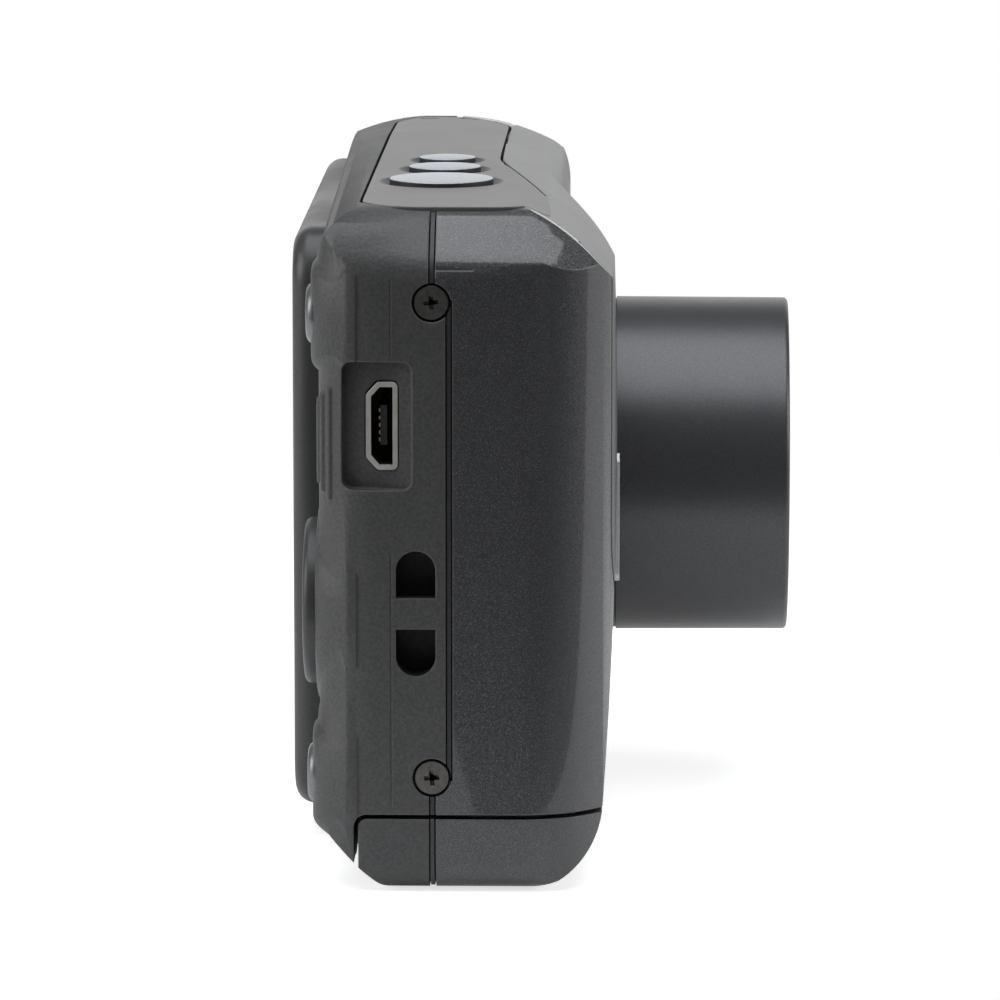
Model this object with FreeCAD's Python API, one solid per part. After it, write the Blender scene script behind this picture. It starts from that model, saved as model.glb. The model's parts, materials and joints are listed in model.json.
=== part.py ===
"""Compact digital camera for two AA cells, lens extended, built as separate pieces.

Millimetres. +Z is up, the lens looks along -Y and the grip is at -X. The origin is the mouth of
the tripod socket, on the bottom face straight below the lens.
"""
import FreeCAD
import Part
import math
import os

V = FreeCAD.Vector

# Body
length = 93.0                 # grip end to far end
height = 60.6                 # bottom face to top deck
lens_from_grip_end = 53.5     # lens axis, measured from the grip end
rear_face = 12.6              # rear shell at the grip end
rear_slant = 1.2              # how much further back it lies at the far end
grip_front = 14.0             # front of the grip, ahead of the tripod socket
face_front = 8.6              # front face beside the lens
wall = 1.5
top_wall = 2.8
grip_corner = 9.0
rear_corner = 5.0
far_front_corner = 6.0
far_rear_corner = 4.0
grip_swell_start = 27.5       # from the grip end, where the front starts to fall back
grip_swell_end = 48.5
grip_swell_radius = 75.0
brow_radius = 6.5             # front edge of the top
front_toe_radius = 7.5        # front edge of the bottom
front_crown = 1.9             # how far the front bulges at the lens's height, from the bottom
front_crown_high = 0.9        # and from the top
crown_reach = 0.65            # how much of the way down to the bottom the bulge's curve takes
heel_height = 5.5             # bevel along the rear of the bottom
heel_depth = 5.8
heel_round = 2.5
nape_round = 4.5              # rear edge of the top
shoulder_drop = 4.6           # bevel at both ends of the top
shoulder_run = 4.9
grip_facet_y = -5.4           # where the shoulder's slope turns to the front of the grip
grip_facet_turn = 25.0        # degrees
grip_facet_lean = 14.8        # of the crease, toward the front on its way down
shoulder_round = 4.0
dome_r = 22.0                 # the top's arch, seen from the far end
dome_y = 4.0
dome_rise = 0.0265            # the arch opens out towards the grip
dome_from_far_end = 4.9
end_foot_radius = 3.0

# Seam between the front and rear shells
seam_mid = 1.0                # between the side screws
seam_end = 2.5                # above and below them
strip_width = 0.36
strip_inset = 0.12
seam_gap = 0.12

# Front cover
cover_thickness = 0.8
cover_gap = 0.15
cover_edge_from_grip = 5.5
cover_edge_from_far = 3.0
cover_corner_drop = 3.3       # where its edge turns in towards the deck plate
cover_corner_depth = 2.2
cover_corner_run = 5.2

# Side screws
screw_head_r = 1.58
screw_shank_r = 0.75
screw_y = 2.54
screw_low = 10.35
screw_high = height - 7.85
screw_head_t = 0.8
screw_clear = 0.15
screw_cross = 1.35
screw_cross_arm = 0.42
screw_length = 3.4

# Lens
lens_height = 30.5
barrel_r = 16.0
barrel_wall = 1.6
barrel_out = 17.3             # how far the barrel stands ahead of its collar
barrel_travel = 15.6
barrel_flange_r = 17.3
barrel_flange_t = 1.6
barrel_groove = 0.2
barrel_grooves = [(0.45, 0.45), (0.95, 0.25)]   # place ahead of the collar, and width
collar_front = 12.5
collar_r_front = 19.0
collar_r_base = 20.3
collar_gap = 0.3
slide_gap = 0.3
inner_barrel_wall = 1.0
inner_barrel_hold = 6.3       # what stays inside the outer barrel when it is out
inner_barrel_setback = 0.8
tele_travel = 8.0
front_ring_t = 0.7
front_ring_hole_r = 5.2
blade_t = 0.5
blade_room = 0.8
blade_pivot_x = 10.5
blade_pivot_z = 3.0
blade_cover_r = 6.0
blade_pin_r = 0.5
front_glass_r = 9.5
front_glass_t = 4.2
cam_tube_wall = 0.9
cam_tube_gap = 0.5            # behind the front of the housing
housing_wall = 0.8
housing_floor_t = 1.2
sensor_w = 10.0
sensor_h = 8.0

# Battery bay
cell_r = 7.1
cell_head_room = 3.5            # from the cells' contacts to the top of the cavity
cell_nub_r = 2.75
cell_nub_h = 1.0
cell_gap = 0.3
bay_wall = 0.8
cell_bottom = 4.3
bay_y = -2.9
card_w = 24.0
card_h = 32.0
card_t = 2.1
slot_wall = 0.35
slot_gap = 0.1
board_t = 1.0

# Battery door
door_height = 6.6
door_gap = 0.4
door_rear = 9.1
door_hinge_from_grip = 35.7
door_hinge_height = 2.6
door_corner = 0.8             # upper rear corner of the door, seen from the grip end
door_turn_gap = 0.15
door_slide = 2.5
hinge_pin_r = 0.7
hinge_pin_clear = 0.08
knuckle_r = 1.3
knuckle_length = 3.4
ear_t = 0.8

# Top deck
deck_t = 1.4
deck_gap = 0.3
deck_margin = 0.5
deck_rear = 9.0
deck_from_grip = 6.4
deck_from_face = 6.15
deck_swell_start = 18.0      # from its near edge
deck_swell_end = -12.0
button_gap = 0.25
button_proud = 0.5
button_crown = 0.2            # how far the cap's face bulges
button_dish = 0.8
button_dish_depth = 0.6
button_round = 0.12
button_travel = 0.6
top_board_drop = 0.4          # the switch board under the buttons, below the top wall
mic_slot_from_far = 9.6
shutter_r = 4.75
power_r = 3.35
mode_r = 2.65
shutter_x = -27.2
power_x = -17.0
mode_x = -9.1
button_y = 2.45

# Rear
bezel_proud = 3.4
bezel_from_grip_end = 22.0
bezel_from_far_end = 3.0
bezel_bottom = 2.6
bezel_below_top = 4.2
bezel_corner = 5.0
bezel_round = 1.8
screen_w = 58.0
screen_h = 44.0
window_t = 1.0
panel_t = 3.2
rear_button_r = 2.8
rear_button_proud = 1.2
rear_button_travel = 0.4
mound_r = 4.1
mound_foot_r = 7.4
mound_proud = 0.7
mound_foot = 2.4              # how far ahead of the rear face the mounds run out
rear_button_near_x = -47.3
rear_button_far_x = -37.8
rear_button_high = height - 9.55
rear_button_low = 9.65
pad_x = -42.5
pad_z = 24.4
pad_r = 7.5
pad_hole_r = 3.5
pad_gap = 0.4
pad_proud = 1.6
pad_mound_r = 8.3
pad_mound_foot_r = 11.6
pad_mound_proud = 0.4
rib_r = 0.4
rib_middle = 40.0
rib_length = 9.6
rib_shorter = 1.2             # each rib than the one beside it
rib_step = 1.2
rib_first = 52.0              # degrees round the corner from the side face

# Side openings
usb_y = 6.9
usb_z = 41.8
usb_w = 7.4
usb_t = 2.4
usb_wall = 0.25
usb_depth = 5.2
usb_recess_w = 11.4
usb_recess_front = 4.25
usb_recess_rear = 10.45
usb_recess_depth = 1.8        # at its rear edge
usb_recess_shallow = 0.2      # at its front edge
mould_line_y = 6.1
mould_line_w = 0.12
mould_line_depth = 0.06
strap_low = 19.5
strap_high = 30.7
strap_bar_t = 1.4
strap_bar_h = 2.8
strap_front = 2.2
strap_width = 3.5
strap_depth = 3.2

# Underside
tripod_r = 3.175
tripod_outer_r = 4.8
tripod_depth = 6.0
tripod_height = 7.5

grip_end = -lens_from_grip_end
far_end = grip_end + length
cavity_top = height - top_wall
cell_length = cavity_top - cell_bottom - cell_head_room
bezel_left = grip_end + bezel_from_grip_end
bezel_right = far_end - bezel_from_far_end
bezel_top = height - bezel_below_top
screen_x = (bezel_left + bezel_right) / 2
screen_z = (bezel_bottom + bezel_top) / 2
barrel_front = -(collar_front + barrel_out)
barrel_rear = barrel_front + barrel_out + 5.2
strip_half = strip_width / 2
shell_back_off = strip_half + seam_gap
hinge_x = grip_end + door_hinge_from_grip
bay_bore_r = cell_r + cell_gap
bay_outer_r = bay_bore_r + bay_wall
cell_x1 = grip_end + wall + 0.4 + bay_outer_r
cell_x2 = cell_x1 + 2 * bay_bore_r + 0.1
board_front = usb_y + usb_t / 2 + 0.1
board_rear = board_front + board_t
far = 200.0


def box(x_low, y_low, z_low, x_high, y_high, z_high):
    return Part.makeBox(x_high - x_low, y_high - y_low, z_high - z_low, V(x_low, y_low, z_low))


def rod_x(x_low, x_high, y, z, r):
    return Part.makeCylinder(r, x_high - x_low, V(x_low, y, z), V(1, 0, 0))


def rod_y(y_low, y_high, x, z, r):
    return Part.makeCylinder(r, y_high - y_low, V(x, y_low, z), V(0, 1, 0))


def rod_z(z_low, z_high, x, y, r):
    return Part.makeCylinder(r, z_high - z_low, V(x, y, z_low), V(0, 0, 1))


def tube_y(y_low, y_high, r_out, r_in):
    """A tube round the lens axis."""
    outer = rod_y(y_low, y_high, 0, lens_height, r_out)
    return outer.cut(rod_y(y_low - 1, y_high + 1, 0, lens_height, r_in))


def join(shapes):
    first, rest = shapes[0], shapes[1:]
    return first.multiFuse(rest).removeSplitter() if rest else first


def rounded_wire(points, radii, place):
    """A closed outline with an arc of the given radius at each corner."""
    turns = []
    for i, (corner, radius) in enumerate(zip(points, radii)):
        before = points[i - 1]
        after = points[(i + 1) % len(points)]
        to_before = unit(before, corner)
        to_after = unit(after, corner)
        angle = math.acos(to_before[0] * to_after[0] + to_before[1] * to_after[1])
        if radius == 0:
            turns.append((corner, None, corner))
            continue
        run = radius / math.tan(angle / 2)
        bisector = unit((to_before[0] + to_after[0], to_before[1] + to_after[1]), (0, 0))
        reach = radius / math.sin(angle / 2) - radius
        turns.append((along(corner, to_before, run), along(corner, bisector, reach),
                      along(corner, to_after, run)))
    edges = []
    for i, (start, middle, end) in enumerate(turns):
        if middle:
            edges.append(Part.Arc(place(*start), place(*middle), place(*end)).toShape())
        following = turns[(i + 1) % len(turns)][0]
        if math.dist(end, following) > 1e-6:
            edges.append(Part.makeLine(place(*end), place(*following)))
    return Part.Wire(edges)


def unit(tip, tail):
    span = math.dist(tip, tail)
    return ((tip[0] - tail[0]) / span, (tip[1] - tail[1]) / span)


def along(point, direction, distance):
    return (point[0] + direction[0] * distance, point[1] + direction[1] * distance)


def prism_z(points, radii, z_low, z_high, inset=0):
    wire = rounded_wire(points, radii, lambda x, y: V(x, y, z_low))
    return Part.Face(wire.makeOffset2D(-inset) if inset else wire).extrude(V(0, 0, z_high - z_low))


def prism_y(points, radii, y_low, y_high, inset=0):
    wire = rounded_wire(points, radii, lambda x, z: V(x, y_low, z))
    return Part.Face(wire.makeOffset2D(-inset) if inset else wire).extrude(V(0, y_high - y_low, 0))


def prism_x(points, radii, x_low, x_high, inset=0):
    wire = rounded_wire(points, radii, lambda y, z: V(x_low, y, z))
    return Part.Face(wire.makeOffset2D(-inset) if inset else wire).extrude(V(x_high - x_low, 0, 0))


def rear_at(x):
    """The rear face, which runs back a little towards the far end."""
    return rear_face + rear_slant * (x - grip_end) / length


def plan_points(spread):
    left = grip_end - spread
    right = far_end + spread
    return [(left, -grip_front), (grip_end + grip_swell_start, -grip_front),
            (grip_end + grip_swell_end, -face_front), (right, -face_front),
            (right, rear_at(right)), (left, rear_at(left))]


def brow_form(inset):
    """The front and rear faces with their rounded top edges, run on past both ends."""
    swell = grip_swell_radius
    top = height - inset
    block = prism_z(plan_points(20), [0, swell, swell, 0, 0, 0], -10, top, inset)
    front = [e for e in block.Edges
             if e.BoundBox.ZMin > top - 0.01 and e.BoundBox.YMax < -face_front + inset + 0.01
             and e.BoundBox.XLength > 0.1]
    block = block.makeFillet(brow_radius - inset, front)
    rear = [e for e in block.Edges
            if e.BoundBox.ZMin > top - 0.01 and e.BoundBox.YMin > 0 and e.BoundBox.XLength > 50]
    return block.makeFillet(nape_round - inset, rear)


def dome_form(inset):
    """Everything under the arch of the top."""
    x = far_end - dome_from_far_end
    start = V(x + 60, dome_y, height - dome_r - 60 * dome_rise)
    arch = Part.makeCylinder(dome_r - inset, 220, start, V(-1, 0, dome_rise))
    return arch.fuse(box(-far, -far, -far, far, far, height - dome_r))


def crown_turn():
    """The angle that the front's bulge turns through, at the lens's height."""
    below = math.atan((front_crown + 0.1) / lens_height)
    above = math.atan((front_crown_high + 0.1) / (height + 3 - lens_height))
    return below + above


def crown_radius():
    return crown_reach * lens_height / math.tan(crown_turn() / 2)


def bulge_front():
    """Where the grip's bulge comes furthest forward."""
    return -grip_front - 0.1 + crown_radius() * (1 / math.cos(crown_turn() / 2) - 1)


def body_form(inset=0):
    """The closed outer form of the camera, or the same form drawn in by inset."""
    swell = grip_swell_radius
    plan = prism_z(plan_points(0), [grip_corner, swell, swell, far_front_corner,
                                    far_rear_corner, rear_corner], -10, height + 10, inset)
    heel_far = 3.0 * heel_depth
    side = prism_x([(-grip_front + front_crown, 0), (-grip_front - 0.1, lens_height),
                    (-grip_front + front_crown_high, height + 3),
                    (rear_face - heel_depth + heel_far, height + 3),
                    (rear_face - heel_depth + heel_far, heel_far * heel_height / heel_depth),
                    (rear_face - heel_depth, 0)],
                   [front_toe_radius, crown_radius(), 0, 0, 0, heel_round], grip_end - 20, far_end + 20,
                   inset)
    form = brow_form(inset).common(side)
    heel = [e for e in form.Edges
            if e.BoundBox.XLength > 50 and e.BoundBox.YMin > rear_face - 2.5
            and 2 < e.BoundBox.ZMin and e.BoundBox.ZMax < heel_height + 3]
    form = form.makeFillet(heel_round - inset, heel)
    front = prism_y([(grip_end, 0), (far_end, 0), (far_end, height - shoulder_drop),
                     (far_end - shoulder_run, height), (grip_end + shoulder_run, height),
                     (grip_end, height - shoulder_drop)],
                    [end_foot_radius, end_foot_radius, shoulder_round, shoulder_round + 1,
                     shoulder_round + 1, shoulder_round], -40, 40, inset)
    body = plan.common(form).common(front).common(dome_form(inset))
    return body.cut(grip_facet(inset))


def grip_facet(inset):
    """What lies outside the slope at the grip's top front corner."""
    slope = math.hypot(shoulder_run, shoulder_drop)
    shoulder = V(-shoulder_drop / slope, 0, shoulder_run / slope)
    lean = math.radians(grip_facet_lean)
    down = V(-shoulder_run / slope, 0, -shoulder_drop / slope)
    crease = down * math.cos(lean) + V(0, -1, 0) * math.sin(lean)
    turn = math.radians(grip_facet_turn)
    outward = shoulder * math.cos(turn) + shoulder.cross(crease) * math.sin(turn)
    start = V(grip_end + shoulder_run, grip_facet_y, height) - outward * inset
    outside = Part.makeBox(60, 60, 30, V(-30, -30, 0))
    outside.Placement = FreeCAD.Placement(start, FreeCAD.Rotation(V(0, 0, 1), outward))
    return outside


def seam_zone(offset):
    """Everything behind the seam line, which steps forward between the side screws."""
    low = screw_low + offset
    high = screw_high - offset
    points = [(seam_end + offset, -5), (seam_end + offset, low), (seam_mid + offset, low),
              (seam_mid + offset, high), (seam_end + offset, high),
              (seam_end + offset, height + 5), (30, height + 5), (30, -5)]
    return prism_x(points, [0] * 8, grip_end - 5, far_end + 5)


def deck_outline(z_low, z_high, grow):
    """The top deck plate, with the same swell at the grip as the front of the body."""
    near = grip_end + shoulder_run + deck_margin
    right = far_end - shoulder_run - deck_margin - 2.5
    lens_side = -face_front + deck_from_face
    grip_side = -grip_front + deck_from_grip
    points = [(near, grip_side), (near + deck_swell_start, grip_side - 0.2), (deck_swell_end, lens_side),
              (right, lens_side), (right, deck_rear - 0.4), (near, deck_rear)]
    return prism_z(points, [5, 14, 40, 1.5, 2.5, 5.5], z_low, z_high, -grow)


def door_zone(grow):
    """The bottom corner of the grip that the battery door takes, round at the hinge."""
    rear, top = door_rear + grow, door_height + grow
    block = prism_x([(-30, -5), (rear, -5), (rear, top), (-30, top)],
                    [0, 0, door_corner + grow, 0], grip_end - 5, hinge_x + grow)
    if not grow:
        return block.fuse(rod_y(-30, rear, hinge_x, door_hinge_height, door_hinge_height))
    barrel = door_hinge_height + door_turn_gap
    swing = box(hinge_x, -30, -5, hinge_x + barrel, rear, door_hinge_height)
    return join([block, rod_y(-30, rear, hinge_x, door_hinge_height, barrel), swing])


def cover_zone(grow):
    """The front cover: its outline from the front, and its slanted edges at the two shoulders."""
    left = grip_end + cover_edge_from_grip
    right = far_end - cover_edge_from_far
    corner = height - cover_corner_drop
    points = [(left, 22), (left + 16, 10.2), (right - 12, 8.8), (right, 16), (right, corner),
              (far_end + 3, corner), (far_end + 3, height + 3), (grip_end - 3, height + 3),
              (grip_end - 3, corner), (left, corner)]
    zone = prism_y(points, [20, 30, 8, 10, 0, 0, 0, 0, 0, 0], -30, -1.2 + grow, -grow)
    slope = cover_corner_run / cover_corner_drop
    shift = grow * math.hypot(1, slope)
    below_corner = box(left - grow, -30, corner - 1, right + grow, 30, corner + grow)
    for front, x_low, x_high in ((grip_front, grip_end - 5, grip_end + shoulder_run + 2),
                                 (face_front, far_end - shoulder_run - 2, far_end + 5)):
        start = -front + cover_corner_depth + shift
        trim = prism_x([(start - grow * slope, corner - grow), (start + cover_corner_run, height),
                        (start + cover_corner_run, height + 5), (30, height + 5),
                        (30, corner - grow)], [0] * 5, x_low, x_high)
        zone = zone.cut(trim.cut(below_corner))
    return zone


def side_screw_places():
    return [(end, z) for end in (grip_end, far_end) for z in (screw_low, screw_high)]


def screw_pocket(x_end, z, extra=screw_clear):
    inward = 1 if x_end < 0 else -1
    head = rod_x(-0.5, screw_head_t + 0.1, 0, 0, screw_head_r + extra)
    shank = rod_x(0, screw_length + 0.2, 0, 0, screw_shank_r + 0.05)
    tool = head.fuse(shank)
    tool.rotate(V(0, 0, 0), V(0, 0, 1), 0 if inward > 0 else 180)
    tool.translate(V(x_end, screw_y, z))
    return tool


def machine_screw():
    """A small cross-head screw along +X, its head's face at x = 0."""
    head = rod_x(0, screw_head_t, 0, 0, screw_head_r)
    head = head.makeFillet(0.12, [e for e in head.Edges if e.BoundBox.XMax < 0.01])
    shank = rod_x(screw_head_t - 0.05, screw_length, 0, 0, screw_shank_r)
    half, arm = screw_cross / 2, screw_cross_arm / 2
    cross = box(-0.1, -half, -arm, 0.45, half, arm).fuse(box(-0.1, -arm, -half, 0.45, arm, half))
    return head.fuse(shank).cut(cross)


def side_screws():
    screws = []
    for x_end, z in side_screw_places():
        screw = machine_screw()
        screw.rotate(V(0, 0, 0), V(0, 0, 1), 0 if x_end < 0 else 180)
        screw.translate(V(x_end + (0.1 if x_end < 0 else -0.1), screw_y, z))
        screws.append(screw)
    return Part.makeCompound(screws)


bottom_screw_places = [(14.0, 5.3), (31.0, 5.3)]


def bottom_screws():
    screws = []
    for x, y in bottom_screw_places:
        screw = machine_screw()
        screw.rotate(V(0, 0, 0), V(0, 1, 0), -90)
        screw.translate(V(x, y, 0.15))
        screws.append(screw)
    return Part.makeCompound(screws)


def bottom_screw_pockets():
    tools = []
    for x, y in bottom_screw_places:
        tools.append(rod_z(-1, screw_head_t + 0.2, x, y, screw_head_r + screw_clear))
        tools.append(rod_z(0, screw_length + 0.4, x, y, screw_shank_r + 0.05))
    return join(tools)


def top_buttons():
    return {"shutter_button": (shutter_x, shutter_r), "power_button": (power_x, power_r),
            "mode_button": (mode_x, mode_r)}


def top_button(x, r):
    low = height - deck_t + button_travel + 0.1
    top = height + button_proud
    crown_r = (r * r + button_crown * button_crown) / (2 * button_crown)
    cap = rod_z(low, top, x, button_y, r)
    cap = cap.common(Part.makeSphere(crown_r, V(x, button_y, top - crown_r)))
    cap = cap.makeFillet(button_round, [e for e in cap.Edges if e.BoundBox.ZMin > height])
    stem_low = cavity_top - top_board_drop + button_travel + 0.05
    return cap.fuse(rod_z(stem_low, low, x, button_y, stem_r(r)))


def stem_r(r):
    return r * 0.42


def deck_plate():
    plate = deck_outline(height - deck_t, height + 5, 0).common(brow_form(0)).common(dome_form(0))
    for x, r in top_buttons().values():
        plate = plate.cut(rod_z(height - deck_t - 1, height + 1, x, button_y, r + button_gap))
        dish = Part.makeCone(r + button_gap, r + button_gap + button_dish, button_dish_depth,
                             V(x, button_y, height + 0.05 - button_dish_depth))
        plate = plate.cut(dish)
    slot = far_end - mic_slot_from_far
    for y in (0.5, 4.5):
        plate = plate.cut(box(slot, y, height - 1.0, slot + 0.6, y + 1.9, height + 1))
    return plate


def deck_pocket():
    """The pocket for the plate and the stem holes through the wall below it."""
    pocket = deck_outline(height - deck_t, height + 5, deck_gap)
    for x, r in top_buttons().values():
        pocket = pocket.fuse(rod_z(cavity_top - 1, height, x, button_y, stem_r(r) + 0.3))
    return pocket


def rear_buttons():
    return {"zoom_wide_button": (rear_button_far_x, rear_button_high),
            "zoom_tele_button": (rear_button_near_x, rear_button_high),
            "playback_button": (rear_button_far_x, rear_button_low),
            "delete_button": (rear_button_near_x, rear_button_low)}


def rear_button(x, z):
    back = rear_face + rear_button_proud
    cap = rod_y(rear_face - wall - 0.3, back, x, z, rear_button_r)
    cap = cap.makeFillet(0.9, [e for e in cap.Edges if e.BoundBox.YMin > back - 0.01])
    flange = rod_y(rear_face - wall - 0.9, rear_face - wall - 0.3, x, z, rear_button_r + 0.7)
    flange = flange.common(box(-far, 0, z - 2.2, far, rear_face, z + 2.2))
    flange = flange.common(body_form(wall + 0.1))
    stem = rod_y(board_rear + rear_button_travel + 0.2, rear_face - wall - 0.9, x, z, 1.3)
    return join([cap, flange, stem])


def rear_works():
    """The mounds round the rear buttons and the thumb ribs, joined to the rear shell."""
    works = [mound(x, z, mound_r, mound_foot_r, mound_proud) for x, z in rear_buttons().values()]
    works.append(mound(pad_x, pad_z, pad_mound_r, pad_mound_foot_r, pad_mound_proud))
    corner_x = grip_end + rear_corner
    corner_y = rear_face - rear_corner
    for i in range(5):
        travel = math.radians(rib_first) * rear_corner + i * rib_step
        half = (rib_length - i * rib_shorter) / 2
        if travel < math.pi / 2 * rear_corner:
            angle = travel / rear_corner
            x = corner_x - math.cos(angle) * (rear_corner - 0.1)
            y = corner_y + math.sin(angle) * (rear_corner - 0.1)
        else:
            x = corner_x + travel - math.pi / 2 * rear_corner
            y = rear_face - 0.1
        rib = rod_z(rib_middle - half, rib_middle + half, x, y, rib_r)
        ends = [Part.makeSphere(rib_r, V(x, y, rib_middle + side * half)) for side in (-1, 1)]
        works.append(join([rib] + ends))
    limit = body_form()
    limit.translate(V(0, mound_proud, 0))
    return join(works).common(limit)


def mound(x, z, r_top, r_foot, proud):
    """A low round swelling of the rear shell that a control sits in."""
    foot = rear_face - mound_foot
    top = rear_face + proud
    steps = 8
    flank = []
    for i in range(steps + 1):
        part_way = i / steps
        drop = (top - foot) * (1 - math.cos(math.pi * part_way)) / 2
        flank.append(V(r_top + (r_foot - r_top) * part_way, top - drop, 0))
    curve = Part.BSplineCurve()
    curve.interpolate(flank)
    outline = Part.Wire([Part.makeLine(V(0, foot - 1, 0), V(0, top, 0)),
                         Part.makeLine(V(0, top, 0), flank[0]), curve.toShape(),
                         Part.makeLine(flank[-1], V(r_foot, foot - 1, 0)),
                         Part.makeLine(V(r_foot, foot - 1, 0), V(0, foot - 1, 0))])
    swelling = Part.Face(outline).revolve(V(0, 0, 0), V(0, 1, 0), 360)
    swelling.translate(V(x, 0, z))
    return swelling


def rear_cuts():
    cuts = [rod_y(rear_face - 5, rear_face + 5, x, z, rear_button_r + button_gap)
            for x, z in rear_buttons().values()]
    cuts.append(rod_y(rear_face - 1.0, rear_face + 5, pad_x, pad_z, pad_r + pad_gap))
    cuts.append(rod_y(rear_face - 5, rear_face, pad_x, pad_z, 3.0))
    cuts.append(box(screen_x - screen_w / 2 + 1, rear_face - 5, screen_z - screen_h / 2 + 1,
                    screen_x + screen_w / 2 - 1, rear_face + 5, screen_z + screen_h / 2 - 1))
    return join(cuts)


def strap_lug():
    """A block inside the side wall, with the two D-shaped holes and the bar between them."""
    rear = strap_front + strap_width
    block = box(grip_end + wall - 0.5, strap_front - 0.5, strap_low - 0.9,
                grip_end + wall + strap_depth - 0.7, rear + 0.9, strap_high + 0.9)
    bar_low = (strap_low + strap_high - strap_bar_h) / 2
    bar_high = bar_low + strap_bar_h
    arc_r = strap_width / 2
    middle = strap_front + arc_r
    behind = box(grip_end + strap_bar_t, strap_front, strap_low + 0.6, grip_end + strap_depth,
                 rear, strap_high - 0.6)
    upper = box(grip_end - 1, strap_front, bar_high, grip_end + strap_depth, rear, strap_high - arc_r)
    upper = upper.fuse(rod_x(grip_end - 1, grip_end + strap_depth, middle, strap_high - arc_r, arc_r))
    lower = box(grip_end - 1, strap_front, strap_low + arc_r, grip_end + strap_depth, rear, bar_low)
    lower = lower.fuse(rod_x(grip_end - 1, grip_end + strap_depth, middle, strap_low + arc_r, arc_r))
    return block, join([behind, upper, lower])


def usb_recess():
    """The recess round the port, deeper to the rear, and the slot for the port's shell."""
    half = usb_recess_w / 2
    points = [(usb_recess_front, usb_z - half), (usb_recess_rear, usb_z - half),
              (usb_recess_rear, usb_z + half), (usb_recess_front, usb_z + half)]
    recess = prism_x(points, [0.9, 0.9, 0.9, 0.9], grip_end - 1, grip_end + 4)
    floor = prism_z([(grip_end - 2, usb_recess_front), (grip_end + usb_recess_shallow, usb_recess_front),
                     (grip_end + usb_recess_depth, usb_recess_rear), (grip_end - 2, usb_recess_rear)],
                    [0, 0, 0, 0], usb_z - usb_recess_w, usb_z + usb_recess_w)
    return recess.common(floor).fuse(usb_outline(0.3, grip_end - 1, grip_end + 8))


def usb_outline(grow, x_low, x_high):
    """The port's section: a rectangle with its two rear corners cut off."""
    front = usb_y - usb_t / 2
    rear = usb_y + usb_t / 2
    low = usb_z - usb_w / 2
    high = usb_z + usb_w / 2
    points = [(front, low), (rear - 0.9, low), (rear, low + 1.0), (rear, high - 1.0),
              (rear - 0.9, high), (front, high)]
    return prism_x(points, [0.3] * 6, x_low, x_high, -grow)


def usb_shell():
    mouth = grip_end + 0.45
    shell = usb_outline(0, mouth, mouth + usb_depth)
    lip = usb_outline(0.2, mouth, mouth + 0.3)
    bore = usb_outline(-usb_wall, mouth - 1, mouth + usb_depth - 0.4)
    return shell.fuse(lip).cut(bore)


def usb_tongue():
    mouth = grip_end + 0.45
    return box(mouth + 0.5, usb_y - 0.45, usb_z - 1.75, mouth + usb_depth - 0.4, usb_y + 0.15,
               usb_z + 1.75)


def usb_contacts():
    mouth = grip_end + 0.45
    return Part.makeCompound([
        box(mouth + 0.6, usb_y + 0.15, usb_z + i * 0.65 - 0.16, mouth + usb_depth - 0.5,
            usb_y + 0.27, usb_z + i * 0.65 + 0.16) for i in range(-2, 3)])


def lens_hole():
    return rod_y(-40, 0, 0, lens_height, collar_r_front + 0.05)


flash_from_far_end = 11.5
flash_below_top = 13.6
flash_x = far_end - flash_from_far_end
flash_z = height - flash_below_top
flash_w = 10.0
flash_h = 5.4
lamp_below_flash = 8.5
lamp_x = flash_x
lamp_z = flash_z - lamp_below_flash
lamp_r = 1.7


def flash_box(grow, y_low, y_high):
    return box(flash_x - flash_w / 2 - grow, y_low, flash_z - flash_h / 2 - grow,
               flash_x + flash_w / 2 + grow, y_high, flash_z + flash_h / 2 + grow)


def front_cuts():
    return join([lens_hole(), flash_box(0.1, -40, 0), rod_y(-40, 0, lamp_x, lamp_z, lamp_r + 0.1)])


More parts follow.
